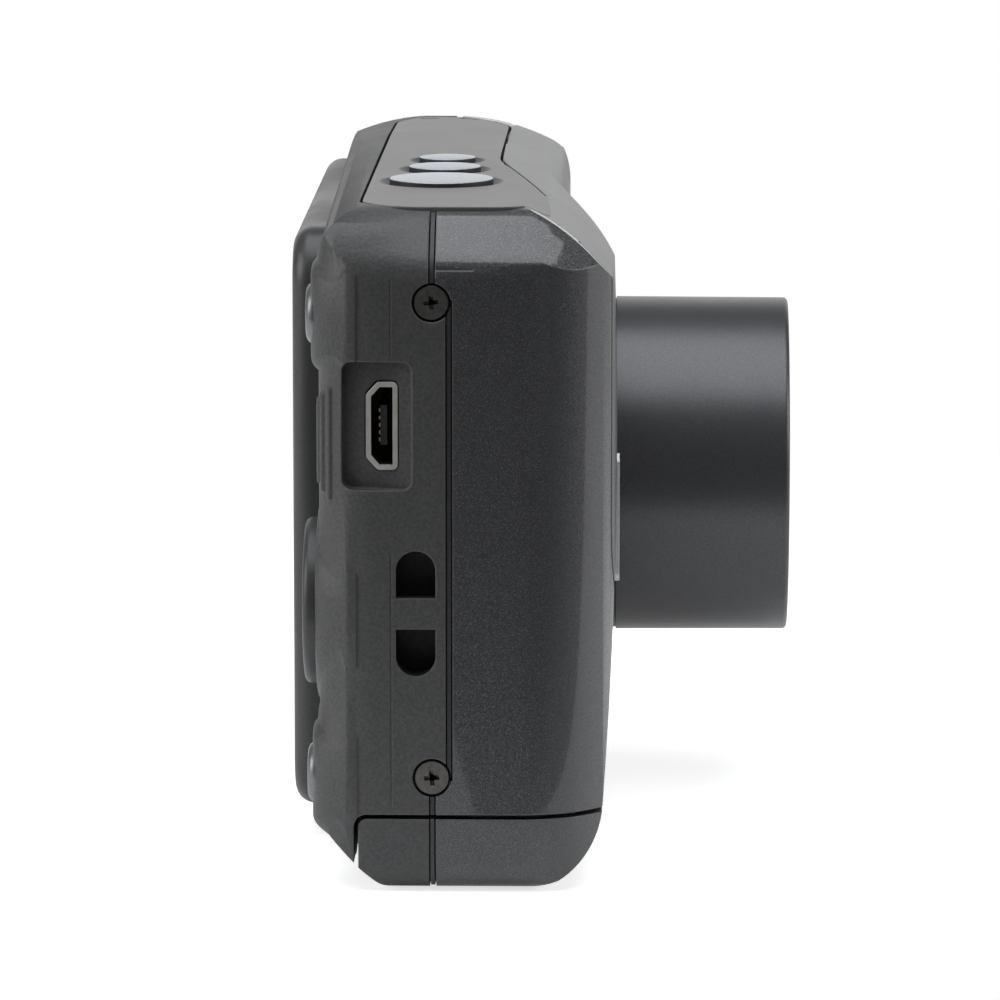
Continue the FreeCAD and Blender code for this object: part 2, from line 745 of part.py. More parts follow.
def shells():
    """The two shells, the strip in their seam, the front cover and the battery door's pieces."""
    outer = body_form()
    cavity = body_form(wall).common(box(-far, -far, -far, far, far, cavity_top))
    skin = outer.cut(body_form(cover_thickness))
    lug, lug_cut = strap_lug()
    pockets = [screw_pocket(x_end, z) for x_end, z in side_screw_places()]
    bosses = [box(grip_end + wall - 0.3, seam_mid + 0.55, z - 2.2, grip_end + 4.2, 5.0, z + 2.2)
              for z in (screw_low, screw_high)]
    bosses += [box(far_end - 4.2, seam_mid + 0.55, z - 2.2, far_end - wall + 0.3, 5.0, z + 2.2)
               for z in (screw_low, screw_high)]
    bosses += [rod_z(wall - 0.3, screw_length + 1.2, x, y, 2.4) for x, y in bottom_screw_places]
    deck = deck_pocket()
    wall_solid = outer.cut(cavity)
    door_room = door_zone(door_gap)
    socket_hole = rod_z(-1, wall + 1, 0, 0, tripod_outer_r + 0.05)

    front = wall_solid.cut(seam_zone(-shell_back_off)).cut(door_room)
    front = front.cut(skin.common(cover_zone(cover_gap)))
    front = front.cut(join([deck, front_cuts(), socket_hole] + pockets))
    front = front.cut(box(grip_end - 1, -1.15, height - shoulder_drop - 0.45,
                          grip_end + 0.3, seam_end, height - shoulder_drop - 0.2))

    rear = wall_solid.fuse(rear_works().cut(cavity)).common(seam_zone(shell_back_off))
    rear = rear.cut(door_room)
    rear = join([rear, lug.common(seam_zone(0))] + [b.common(seam_zone(shell_back_off)) for b in bosses])
    rear = rear.cut(join([deck, rear_cuts(), lug_cut, usb_recess(), socket_hole,
                          bottom_screw_pockets(), mould_line()] + pockets))

    strip = body_form(strip_inset).cut(body_form(wall - 0.2))
    strip = strip.common(seam_zone(-strip_half)).cut(seam_zone(strip_half))
    door_strip = strip.common(door_zone(0))
    strip = strip.cut(join([deck, door_room, socket_hole] + pockets))

    cover = skin.common(cover_zone(0)).cut(deck).cut(door_room)
    cover = cover.cut(join([lens_hole(), flash_box(0.1, -40, 0),
                            rod_y(-40, 0, lamp_x, lamp_z, lamp_r + 0.1), accent_form(0.05)]))

    door = wall_solid.common(door_zone(0))
    rear_lip = box(grip_end + wall + 0.3, door_rear - 1.0, wall - 0.5, hinge_x - 5.0, door_rear, 5.4)
    door_rear_part = join([door.common(seam_zone(shell_back_off)), rear_lip.cut(outer_rest(outer)),
                           door_strip] + door_knuckles())
    reach = pin_reach() + 0.2
    bore = rod_y(-reach, reach, hinge_x, door_hinge_height, hinge_pin_r + hinge_pin_clear)
    bore = join([bore] + ear_slots())
    door_rear_part = door_rear_part.fuse(door_spine(cavity)).cut(bore)
    door_face = door.cut(seam_zone(-shell_back_off)).cut(skin.common(cover_zone(cover_gap))).cut(bore)
    door_face = door_face.cut(door_rear_part)
    return {"front_shell": largest(front), "rear_shell": largest(rear), "seam_strip": strip,
            "front_cover": largest(cover), "battery_door": largest(door_rear_part),
            "battery_door_face": largest(door_face)}


def outer_rest(outer):
    return box(-far, -far, -far, far, far, far).cut(outer)


def largest(shape):
    """The main solid of a cut shape, without the slivers a curved cut can leave."""
    return max(shape.Solids, key=lambda s: s.Volume)


def door_knuckles():
    knuckles = []
    for side in (-1, 1):
        y_near = side * (ear_place() + ear_t / 2 + 0.3)
        y_far = y_near + side * knuckle_length
        low, high = min(y_near, y_far), max(y_near, y_far)
        knuckles.append(rod_y(low, high, hinge_x, door_hinge_height, knuckle_r))
        knuckles.append(box(hinge_x - knuckle_r, low, wall - 0.3, hinge_x + knuckle_r / 2, high,
                            door_hinge_height))
    return knuckles


def ear_slots():
    """Room in the door's floor for the bracket's ears when the door hangs open."""
    slots = []
    for side in (-1, 1):
        y = side * ear_place()
        half = ear_t / 2 + 0.25
        slots.append(box(hinge_x - 1.6, y - half, -1, hinge_x + 5, y + half, door_hinge_height + 2))
    return slots


def mould_line():
    """The faint parting line down the side of the rear shell."""
    x = grip_end + mould_line_depth
    line = box(grip_end - 1, mould_line_y, door_height + 1, x, mould_line_y + mould_line_w,
               height - shoulder_drop - 0.4)
    return line.cut(box(grip_end - 2, 0, usb_z - usb_recess_w, x + 1, 20, usb_z + usb_recess_w / 2 + 0.5))


def door_spine(cavity):
    """The floor plate inside the door that ties its two colours together."""
    plate = box(grip_end, -8, wall - 0.2, hinge_x - 4.5, 6, wall + 0.8)
    return plate.common(cavity.fuse(body_form(wall - 0.25)))


def ear_place():
    return 3.1


def door_bracket():
    """The steel bracket on the body's floor, with a slot in each ear for the hinge pin."""
    low = wall
    ears = []
    for side in (-1, 1):
        y = side * ear_place()
        ear = box(hinge_x - door_slide - 1.4, y - ear_t / 2, low + 0.1, hinge_x + 6.5, y + ear_t / 2,
                  door_hinge_height + hinge_pin_r + 0.7)
        ears.append(ear)
    base = box(hinge_x + 3.4, -ear_place() - 2, low + 0.1, hinge_x + 7.5, ear_place() + 2, low + 0.7)
    slot_r = hinge_pin_r + hinge_pin_clear
    slot = box(hinge_x - door_slide, -far, door_hinge_height - slot_r, hinge_x, far,
               door_hinge_height + slot_r)
    slot = join([slot, rod_y(-far, far, hinge_x, door_hinge_height, slot_r),
                 rod_y(-far, far, hinge_x - door_slide, door_hinge_height, slot_r)])
    return join(ears + [base]).cut(slot)


def pin_reach():
    return ear_place() + ear_t / 2 + 0.3 + knuckle_length + 0.4


def door_pin():
    reach = pin_reach()
    return rod_y(-reach, reach, hinge_x, door_hinge_height, hinge_pin_r)


def door_contact():
    """The spring-steel strip in the door that joins the two cells."""
    low = wall + 0.85
    strip = box(cell_x1 - 5, bay_y - 3.5, low, cell_x2 + 4.5, bay_y + 3.5, low + 0.4)
    cones = []
    for x in (cell_x1, cell_x2):
        cones.append(Part.makeCone(3.0, 1.6, cell_bottom - 0.15 - low - 0.4, V(x, bay_y, low + 0.4)))
    return join([strip] + cones)


accent_x = -33.5
accent_w = 1.6
accent_low = 24.6
accent_high = 36.6
accent_proud = 0.3


def accent_form(grow):
    """The bright bar let into the front of the grip, with pointed ends."""
    half = accent_w / 2 + grow
    low, high = accent_low - grow, accent_high + grow
    points = [(accent_x - half, low + 0.8), (accent_x, low), (accent_x + half, low + 0.8),
              (accent_x + half, high - 0.8), (accent_x, high), (accent_x - half, high - 0.8)]
    return prism_y(points, [0.3, 0.3, 0.3, 0.3, 0.3, 0.3], bulge_front() - accent_proud,
                   bulge_front() + cover_thickness - 0.15)


def tripod_socket():
    bush = rod_z(0, tripod_height, 0, 0, tripod_outer_r)
    bush = bush.fuse(rod_z(wall + 0.1, wall + 1.0, 0, 0, tripod_outer_r + 0.9))
    return bush.cut(rod_z(-1, tripod_depth, 0, 0, tripod_r))


def lens_collar():
    """The fixed collar that the barrel slides out of."""
    front = -collar_front
    seat = -face_front
    cone = Part.makeCone(collar_r_front, collar_r_base, collar_front - face_front + 0.05,
                         V(0, front, lens_height), V(0, 1, 0))
    cone = cone.makeFillet(0.5, [e for e in cone.Edges if e.BoundBox.YMax < front + 0.01])
    cone = cone.cut(body_form(0.0))
    spigot = rod_y(front + 1, seat + wall + 0.1, 0, lens_height, collar_r_front)
    bore = rod_y(front - 1, seat + 5, 0, lens_height, barrel_r + collar_gap)
    room = rod_y(front + 3.3, seat + 5, 0, lens_height, barrel_flange_r + slide_gap)
    return join([cone, spigot]).cut(bore).cut(room)


def outer_barrel():
    tube = Part.makeCone(barrel_r - 0.1, barrel_r, barrel_rear - barrel_front,
                         V(0, barrel_front, lens_height), V(0, 1, 0))
    tube = tube.makeFillet(0.45, [e for e in tube.Edges if e.BoundBox.YMax < barrel_front + 0.01])
    for ahead, width in barrel_grooves:
        y = -collar_front - ahead
        tube = tube.cut(tube_y(y, y + width, barrel_r + 1, barrel_r - barrel_groove))
    flange = rod_y(barrel_rear - barrel_flange_t, barrel_rear, 0, lens_height, barrel_flange_r)
    bore = rod_y(barrel_front + 1.0, barrel_rear + 1, 0, lens_height, barrel_r - barrel_wall)
    mouth = rod_y(barrel_front - 1, barrel_front + 2, 0, lens_height, inner_r() + slide_gap)
    return tube.fuse(flange).cut(bore).cut(mouth)


def inner_r():
    return barrel_r - barrel_wall - 0.8


def inner_front():
    return barrel_front + inner_barrel_setback + front_ring_t


def inner_barrel():
    """The second barrel, with the blade slot, the baffle behind it and the front lens cell."""
    r = inner_r()
    front = inner_front()
    rear = front + tele_travel + inner_barrel_hold
    tube = tube_y(front, rear, r, r - inner_barrel_wall)
    flange = tube_y(rear - 2.0, rear, barrel_r - barrel_wall - slide_gap, r - inner_barrel_wall)
    baffle = tube_y(front + blade_room, front + blade_room + 0.5, r - 0.1, front_ring_hole_r + 0.4)
    cell = tube_y(front + blade_room + 0.5, front + blade_room + 0.5 + front_glass_t + 0.8, r - 0.1,
                  front_glass_r + 0.05)
    pins = [rod_y(front + 0.05, front + blade_room + 0.1, x, lens_height + z, blade_pin_r)
            for x, z in ((-blade_pivot_x, blade_pivot_z), (blade_pivot_x, -blade_pivot_z))]
    return join([tube, flange, baffle, cell] + pins)


def front_ring():
    front = inner_front() - front_ring_t
    ring = rod_y(front, front + front_ring_t, 0, lens_height, inner_r())
    hole = Part.makeCone(front_ring_hole_r + 2.2, front_ring_hole_r, front_ring_t * 0.6,
                         V(0, front, lens_height), V(0, 1, 0))
    return ring.cut(hole).cut(rod_y(front - 1, front + 2, 0, lens_height, front_ring_hole_r))


def cover_blade(turned):
    """One of the two lens-cover blades, drawn closed and swung open about its pin."""
    front = inner_front() + (blade_room - blade_t) / 2
    half = rod_y(front, front + blade_t, 0, 0, blade_cover_r)
    half = half.common(box(-far, -far, 0.05, far, far, far))
    arm = box(-blade_pivot_x, front, blade_pivot_z - 1.3, -2, front + blade_t, blade_pivot_z + 1.3)
    eye = rod_y(front, front + blade_t, -blade_pivot_x, blade_pivot_z, 1.3)
    hole = rod_y(front - 1, front + 2, -blade_pivot_x, blade_pivot_z, blade_pin_r + 0.08)
    blade = join([half, arm, eye]).cut(hole)
    blade.rotate(V(-blade_pivot_x, 0, blade_pivot_z), V(0, 1, 0), -blade_open)
    if turned:
        blade.rotate(V(0, 0, 0), V(0, 1, 0), 180)
    blade.translate(V(0, 0, lens_height))
    return blade


blade_open = 34.0


def bulged_glass(y_front, y_back, r, rise_front, rise_back):
    """A lens element: a disc with a spherical cap on each side."""
    disc = rod_y(y_front, y_back, 0, lens_height, r)
    pieces = [disc]
    for rise, y, way in ((rise_front, y_front, 1), (rise_back, y_back, -1)):
        if rise:
            ball_r = (r * r + rise * rise) / (2 * rise)
            ball = Part.makeSphere(ball_r, V(0, y + way * (ball_r - rise), lens_height))
            slab = box(-far, y - rise - 1, -far, far, y, far) if way > 0 else \
                box(-far, y, -far, far, y + rise + 1, far)
            pieces.append(ball.common(slab))
    return join(pieces)


def front_lens():
    seat = inner_front() + blade_room + 0.5
    return bulged_glass(seat + 1.6, seat + front_glass_t, front_glass_r, 1.2, 0)


def lens_housing():
    """The fixed housing behind the collar, with the floor that carries the sensor."""
    r_in = cam_r() + slide_gap
    floor = housing_floor()
    tube = tube_y(housing_front(), floor, r_in + housing_wall, r_in)
    plate = rod_y(floor, floor + housing_floor_t, 0, lens_height, r_in + housing_wall)
    window = box(-sensor_w / 2 - 0.3, floor - 1, lens_height - sensor_h / 2 - 0.3, sensor_w / 2 + 0.3,
                 floor + 3, lens_height + sensor_h / 2 + 0.3)
    return tube.fuse(plate).cut(window)


def housing_front():
    return -face_front + wall + 0.4


def housing_floor():
    """Just behind the outer barrel's rear end when it is drawn in."""
    return barrel_rear + barrel_travel + slide_gap


def cam_r():
    return barrel_flange_r + slide_gap + cam_tube_wall


def cam_tube():
    front = housing_front() + cam_tube_gap
    rear = housing_floor() - slide_gap
    tube = tube_y(front, rear, cam_r(), cam_r() - cam_tube_wall)
    for turn in (0, 120, 240):
        groove = box(-1.1, front + 2, lens_height + cam_r() - 2, 1.1, rear - 2, lens_height + cam_r() + 1)
        groove.rotate(V(0, (front + rear) / 2, lens_height), V(0, 0, 1), 25)
        groove.rotate(V(0, 0, lens_height), V(0, 1, 0), turn)
        tube = tube.cut(groove)
    return tube


def image_sensor():
    floor = housing_floor()
    chip = box(-sensor_w / 2, floor + 0.2, lens_height - sensor_h / 2, sensor_w / 2,
               floor + housing_floor_t, lens_height + sensor_h / 2)
    board = box(-11, floor + housing_floor_t, lens_height - 9, 11, floor + housing_floor_t + 0.8,
                lens_height + 9)
    return chip.fuse(board)


focus_r = 6.5
focus_travel = 0.8
focus_carrier_t = 1.6
rod_spacing = 9.5


def focus_front():
    return housing_floor() - 1.4 - focus_travel - focus_carrier_t


def focus_carrier():
    front = focus_front()
    ring = tube_y(front, front + focus_carrier_t, focus_r + 1.2, focus_r)
    ears = [box(-rod_spacing - 1.4, front, lens_height - 1.4, -focus_r - 0.4,
                front + focus_carrier_t, lens_height + 1.4),
            box(focus_r + 0.4, front, lens_height - 1.4, rod_spacing + 1.4,
                front + focus_carrier_t, lens_height + 1.4)]
    carrier = join([ring] + ears)
    for x in (-rod_spacing, rod_spacing):
        carrier = carrier.cut(rod_y(front - 1, front + 5, x, lens_height, 0.58))
    return carrier


def focus_lens():
    front = focus_front()
    return bulged_glass(front, front + focus_carrier_t, focus_r, 0.5, 0.4)


def focus_rods():
    front = focus_front() - focus_travel - 0.4
    return Part.makeCompound([rod_y(front, housing_floor(), x, lens_height, 0.5)
                              for x in (-rod_spacing, rod_spacing)])


motor_r = 3.6
motor_rear = 7.0
motor_nose = 1.0
gear_case_t = 0.8
motor_z = 14.5
capacitor_r = 4.4
capacitor_gap = 0.4
capacitor_low = 13.2           # above the bottom screw's boss


def capacitor_x():
    return far_end - wall - 0.6 - capacitor_r


def motor_x():
    return capacitor_x() - capacitor_r - capacitor_gap - motor_r


def zoom_motor():
    front = gear_case_front() + gear_case_t + motor_nose
    can = rod_y(front, motor_rear, motor_x(), motor_z, motor_r)
    return can.fuse(rod_y(front - motor_nose, front, motor_x(), motor_z, 1.2))


def gear_case_front():
    return housing_front() + 0.1


def gearbox():
    """The moulded gear case between the motor and the lens housing."""
    right = motor_x() + motor_r + 0.2
    low = motor_z - motor_r - 2.3
    front = gear_case_front()
    rear = front + gear_case_t
    case = box(12.5, front, low, right, rear, motor_z + motor_r + 0.2)
    case = case.fuse(box(right - 1.9, rear, low, right, rear + gear_case_t, low + 1.9))
    return case.cut(rod_y(-10, 10, 0, lens_height, cam_r() + slide_gap + housing_wall + 0.2))


def flash_window():
    pane = flash_box(0, -face_front - 0.15, -face_front + wall)
    return pane.makeFillet(0.4, [e for e in pane.Edges if e.BoundBox.YLength > 1])


def flash_reflector():
    y_low = -face_front + wall + 0.05
    block = flash_box(0.6, y_low, y_low + 4.0)
    trough = rod_x(-far, far, y_low, flash_z, flash_h / 2)
    trough = trough.common(flash_box(-0.2, y_low - 1, y_low + 3.4))
    return block.cut(trough)


def flash_tube():
    y = -face_front + wall + 1.45
    return rod_x(flash_x - flash_w / 2 + 0.3, flash_x + flash_w / 2 - 0.3, y, flash_z, 0.9)


def focus_lamp():
    lamp = rod_y(-face_front - 0.1, -face_front + wall + 2.0, lamp_x, lamp_z, lamp_r)
    return lamp.makeFillet(0.3, [e for e in lamp.Edges if e.BoundBox.YMax < -face_front])


speaker_z = height - 15.1
speaker_y = 4.9
speaker_r = 3.9


def flash_capacitor():
    can = rod_z(capacitor_low, speaker_z - speaker_r - capacitor_gap, capacitor_x(), 4.2, capacitor_r)
    return can.makeFillet(0.6, [e for e in can.Edges if e.BoundBox.ZLength < 0.1])


def speaker():
    return rod_x(far_end - wall - 2.6, far_end - wall - 0.05, speaker_y, speaker_z, speaker_r)


def speaker_holes():
    holes = [rod_x(far_end - 3, far_end + 3, speaker_y, speaker_z, 0.4)]
    for i in range(6):
        angle = math.radians(60 * i)
        holes.append(rod_x(far_end - 3, far_end + 3, speaker_y + 1.6 * math.cos(angle),
                           speaker_z + 1.6 * math.sin(angle), 0.4))
    return join(holes)


def battery_bay():
    """The moulded bay: two bores side by side, closed at the top."""
    low = door_height + door_gap + 0.1
    high = cell_bottom + cell_length + 1.5
    block = join([rod_z(low, high, cell_x1, bay_y, bay_outer_r),
                  rod_z(low, high, cell_x2, bay_y, bay_outer_r),
                  box(cell_x1, bay_y - bay_outer_r, low, cell_x2, bay_y + bay_outer_r, high)])
    for x in (cell_x1, cell_x2):
        block = block.cut(rod_z(low - 1, high - 0.8, x, bay_y, bay_bore_r))
    for z in (screw_low, screw_high):
        block = block.cut(box(grip_end, seam_mid + 0.3, z - 2.45, grip_end + 4.45, 6, z + 2.45))
    lug, _ = strap_lug()
    room = lug.BoundBox
    block = block.common(body_form(wall + 0.2))
    return block.cut(box(room.XMin, room.YMin - 0.2, room.ZMin - 0.2, room.XMax + 0.2, room.YMax,
                         room.ZMax + 0.2))


def battery_cells():
    low = cell_bottom
    high = cell_bottom + cell_length
    up = rod_z(low, high - cell_nub_h, cell_x1, bay_y, cell_r)
    up = up.makeFillet(0.5, [e for e in up.Edges if e.BoundBox.ZLength < 0.1])
    up = up.fuse(rod_z(high - cell_nub_h - 0.1, high, cell_x1, bay_y, cell_nub_r))
    down = rod_z(low + cell_nub_h, high, cell_x2, bay_y, cell_r)
    down = down.makeFillet(0.5, [e for e in down.Edges if e.BoundBox.ZLength < 0.1])
    down = down.fuse(rod_z(low, low + cell_nub_h + 0.1, cell_x2, bay_y, cell_nub_r))
    return Part.makeCompound([up, down])


def bay_contacts():
    top = cell_bottom + cell_length + 0.7
    plates = [rod_z(top - 0.35, top, cell_x1, bay_y, 3.6), rod_z(top - 0.35, top, cell_x2, bay_y, 4.6)]
    return Part.makeCompound(plates)


card_left = -46.2
card_low = 4.4


def card_front():
    return bay_y + bay_outer_r + 0.15 + slot_wall


def card_slot():
    front = card_front() - slot_wall
    low = door_height + door_gap + 1.0
    case = box(card_left - slot_gap - slot_wall, front, low, card_left + card_w + slot_gap + slot_wall,
               board_front - 0.05, card_low + card_h + 1.0)
    return case.cut(box(card_left - slot_gap, card_front(), low - 1, card_left + card_w + slot_gap,
                        board_front + 1, card_low + card_h + 0.3))


def memory_card():
    y = card_front() + slot_gap / 2
    card = box(card_left, y, card_low, card_left + card_w, y + card_t, card_low + card_h)
    chamfer = Part.Face(Part.makePolygon([V(card_left, y - 1, card_low + card_h),
                                          V(card_left + 4, y - 1, card_low + card_h),
                                          V(card_left, y - 1, card_low + card_h - 4),
                                          V(card_left, y - 1, card_low + card_h)]))
    return card.cut(chamfer.extrude(V(0, 5, 0)))


def main_board():
    board = box(grip_end + wall + 2.0, board_front, 8.0, -20.6, board_rear, cavity_top - 3.8)
    return board


def top_board():
    top = cavity_top - top_board_drop
    return box(-30.5, -1.0, top - 0.8, -2.0, 6.6, top)


def lcd_bezel():
    points = [(bezel_left, bezel_bottom), (bezel_right, bezel_bottom), (bezel_right, bezel_top),
              (bezel_left, bezel_top)]
    back = rear_face + bezel_proud
    frame = prism_y(points, [bezel_corner] * 4, rear_face - heel_depth, back)
    frame = frame.makeFillet(bezel_round, [e for e in frame.Edges if e.BoundBox.YMin > back - 0.01])
    frame = frame.cut(body_form())
    opening = prism_y([(screen_x - screen_w / 2, screen_z - screen_h / 2),
                       (screen_x + screen_w / 2, screen_z - screen_h / 2),
                       (screen_x + screen_w / 2, screen_z + screen_h / 2),
                       (screen_x - screen_w / 2, screen_z + screen_h / 2)], [1.0] * 4,
                      rear_face - 5, back + 5)
    return largest(frame.cut(opening))


def lcd_window():
    back = rear_face + bezel_proud - 0.25
    half_w = screen_w / 2 - 0.1
    half_h = screen_h / 2 - 0.1
    return prism_y([(screen_x - half_w, screen_z - half_h), (screen_x + half_w, screen_z - half_h),
                    (screen_x + half_w, screen_z + half_h), (screen_x - half_w, screen_z + half_h)],
                   [0.9] * 4, back - window_t, back)


def lcd_panel():
    back = rear_face + bezel_proud - 0.25 - window_t - 0.05
    half_w = screen_w / 2 - 1.3
    half_h = screen_h / 2 - 1.3
    return box(screen_x - half_w, back - panel_t, screen_z - half_h, screen_x + half_w, back,
               screen_z + half_h)


def control_pad():
    back = rear_face + pad_proud
    ring = rod_y(rear_face - 0.55, back, pad_x, pad_z, pad_r)
    ring = ring.makeFillet(0.7, [e for e in ring.Edges if e.BoundBox.YMin > back - 0.01])
    dish = Part.makeCone(pad_hole_r, pad_r - 1.2, 0.5, V(pad_x, back - 0.45, pad_z), V(0, 1, 0))
    hub = rod_y(rear_face - 2.0, rear_face - 0.55, pad_x, pad_z, 2.6)
    ring = ring.cut(rod_y(rear_face - 0.1, back + 1, pad_x, pad_z, pad_hole_r)).cut(dish)
    return ring.fuse(hub).cut(rod_y(rear_face - 9, back + 1, pad_x, pad_z, 1.7))


def pad_rocker():
    disc = rod_y(rear_face - 3.1, rear_face - 2.4, pad_x, pad_z, 5.5)
    return disc.cut(rod_y(rear_face - 9, rear_face, pad_x, pad_z, 1.7))


def set_button():
    back = rear_face + pad_proud + 0.2
    cap = rod_y(rear_face + 0.45, back, pad_x, pad_z, pad_hole_r - 0.35)
    cap = cap.makeFillet(0.5, [e for e in cap.Edges if e.BoundBox.YMin > back - 0.01])
    return cap.fuse(rod_y(board_rear + 0.6, rear_face + 0.45, pad_x, pad_z, 1.2))


def build():
    parts = shells()
    parts["rear_shell"] = parts["rear_shell"].cut(speaker_holes())
    for name, (x, r) in top_buttons().items():
        parts[name] = top_button(x, r)
    for name, (x, z) in rear_buttons().items():
        parts[name] = rear_button(x, z)
    parts["blade_upper"] = cover_blade(False)
    parts["blade_lower"] = cover_blade(True)
    makers = [side_screws, bottom_screws, deck_plate, usb_shell, usb_tongue, usb_contacts,
              door_bracket, door_pin, door_contact, tripod_socket, lens_collar, outer_barrel,
              inner_barrel, front_ring, front_lens, lens_housing, cam_tube, image_sensor,
              focus_carrier, focus_lens, focus_rods, zoom_motor, gearbox, flash_window,
              flash_reflector, flash_tube, focus_lamp, flash_capacitor, speaker, battery_bay,
              battery_cells, bay_contacts, card_slot, memory_card, main_board, top_board,
              lcd_bezel, lcd_window, lcd_panel, control_pad, pad_rocker, set_button]
    for maker in makers:
        parts[maker.__name__] = maker()
    parts["grip_accent"] = accent_form(0)
    return parts


def main():
    os.makedirs("parts", exist_ok=True)
    for name, shape in build().items():
        shape.exportStep(f"parts/{name}.step")
        print(name, len(shape.Solids), round(shape.Volume, 1), shape.isValid())


main()
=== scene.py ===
import json
import math

import bmesh
import bpy
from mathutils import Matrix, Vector

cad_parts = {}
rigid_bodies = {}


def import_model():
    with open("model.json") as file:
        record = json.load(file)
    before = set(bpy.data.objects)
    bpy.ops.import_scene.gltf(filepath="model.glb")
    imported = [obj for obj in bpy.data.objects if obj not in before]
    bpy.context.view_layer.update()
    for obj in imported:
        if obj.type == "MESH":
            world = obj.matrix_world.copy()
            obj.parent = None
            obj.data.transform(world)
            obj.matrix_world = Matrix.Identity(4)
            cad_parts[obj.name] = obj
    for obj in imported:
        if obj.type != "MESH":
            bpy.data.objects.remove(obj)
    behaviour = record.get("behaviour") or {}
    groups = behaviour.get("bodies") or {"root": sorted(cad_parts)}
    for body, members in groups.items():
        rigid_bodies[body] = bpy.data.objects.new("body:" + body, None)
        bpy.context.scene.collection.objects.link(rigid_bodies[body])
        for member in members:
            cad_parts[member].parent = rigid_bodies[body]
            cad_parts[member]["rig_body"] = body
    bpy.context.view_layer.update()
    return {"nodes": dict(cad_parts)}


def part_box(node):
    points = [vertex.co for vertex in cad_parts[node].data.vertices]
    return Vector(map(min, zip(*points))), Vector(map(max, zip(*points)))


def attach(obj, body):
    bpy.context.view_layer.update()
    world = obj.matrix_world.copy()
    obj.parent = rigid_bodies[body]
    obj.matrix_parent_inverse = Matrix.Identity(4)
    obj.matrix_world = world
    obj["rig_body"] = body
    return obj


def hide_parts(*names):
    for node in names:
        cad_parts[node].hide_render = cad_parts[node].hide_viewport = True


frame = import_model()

mm = 0.001

# Rear shell. Injection-moulded in a dark plastic whose mould was spark-eroded to a fine leathery
# grain; the front shell, the boards and the bezel all screw or clip to it. The grain is polished
# down a little where hands rub, and a paler painted highlight runs along its rounded edges.


def principled(name, colour, roughness, metallic=0.0):
    """A new material with its shader's own sockets set, and the nodes to add detail to."""
    material = bpy.data.materials.new(name)
    material.use_nodes = True
    shader = material.node_tree.nodes["Principled BSDF"]
    shader.inputs["Base Color"].default_value = (*colour, 1)
    shader.inputs["Roughness"].default_value = roughness
    shader.inputs["Metallic"].default_value = metallic
    return material


def fill(tree, socket, value):
    """Sets a socket, or joins it where the value is another node's output."""
    if isinstance(value, bpy.types.NodeSocket):
        tree.links.new(value, socket)
    else:
        socket.default_value = value


def wire(tree, kind, **settings):
    """A node with its sockets set or joined."""
    node = tree.nodes.new(kind)
    for label, value in settings.items():
        fill(tree, node.inputs[label.replace("_", " ")], value)
    return node


def vector_maths(tree, operation, *values):
    node = tree.nodes.new("ShaderNodeVectorMath")
    node.operation = operation
    for socket, value in zip(node.inputs, values):
        fill(tree, socket, value)
    return node


def shader_of(material):
    return material.node_tree.nodes["Principled BSDF"]


def feed(material, label, output):
    """Joins an output to one of the shader's own sockets."""
    material.node_tree.links.new(output, shader_of(material).inputs[label])


def place_on_object(tree, stretch=(1, 1, 1)):
    place = wire(tree, "ShaderNodeTexCoord")
    mapping = wire(tree, "ShaderNodeMapping", Vector=place.outputs["Object"], Scale=stretch)
    return mapping.outputs["Vector"]


def noise_on_object(tree, size_mm, detail=2.0, stretch=(1, 1, 1)):
    """Noise whose grains are about size_mm across on the piece itself."""
    noise = wire(tree, "ShaderNodeTexNoise", Vector=place_on_object(tree, stretch),
                 Scale=1 / (size_mm * mm), Detail=detail)
    return noise.outputs["Fac"]


def grain(material, size_mm, depth_mm, strength=1.0, detail=2.0, stretch=(1, 1, 1)):
    """Raised grain of the given size and depth."""
    tree = material.node_tree
    bump = wire(tree, "ShaderNodeBump", Strength=strength, Distance=depth_mm * mm,
                Height=noise_on_object(tree, size_mm, detail, stretch))
    feed(material, "Normal", bump.outputs["Normal"])


def two_shades(material, amount, stops, colours):
    """Colour that changes from one shade to the other between two stops."""
    ramp = wire(material.node_tree, "ShaderNodeValToRGB", Fac=amount)
    for element, stop, colour in zip(ramp.color_ramp.elements, stops, colours):
        element.position = stop
        element.color = (*colour, 1)
    feed(material, "Base Color", ramp.outputs["Color"])


# The noise lies between these two values nearly everywhere.
noise_low = 0.35
noise_high = 0.65


def speckle(material, colour_low, colour_high, size_mm):
    """Mottled colour between two shades."""
    noise = noise_on_object(material.node_tree, size_mm)
    two_shades(material, noise, (noise_low, noise_high), (colour_low, colour_high))


def handling(material, low, high, size_mm=9.0):
    """Roughness that drifts between two values, as where fingers have rubbed the surface."""
    tree = material.node_tree
    spread = wire(tree, "ShaderNodeMapRange", Value=noise_on_object(tree, size_mm, 3.0),
                  From_Min=noise_low, From_Max=noise_high, To_Min=low, To_Max=high)
    feed(material, "Roughness", spread.outputs["Result"])


# The painted edge highlight starts where the rounded edge leans from its face by the first cosine,
# and is full at the second.
highlight_starts = 0.985
highlight_full = 0.9
highlight_share = 0.6


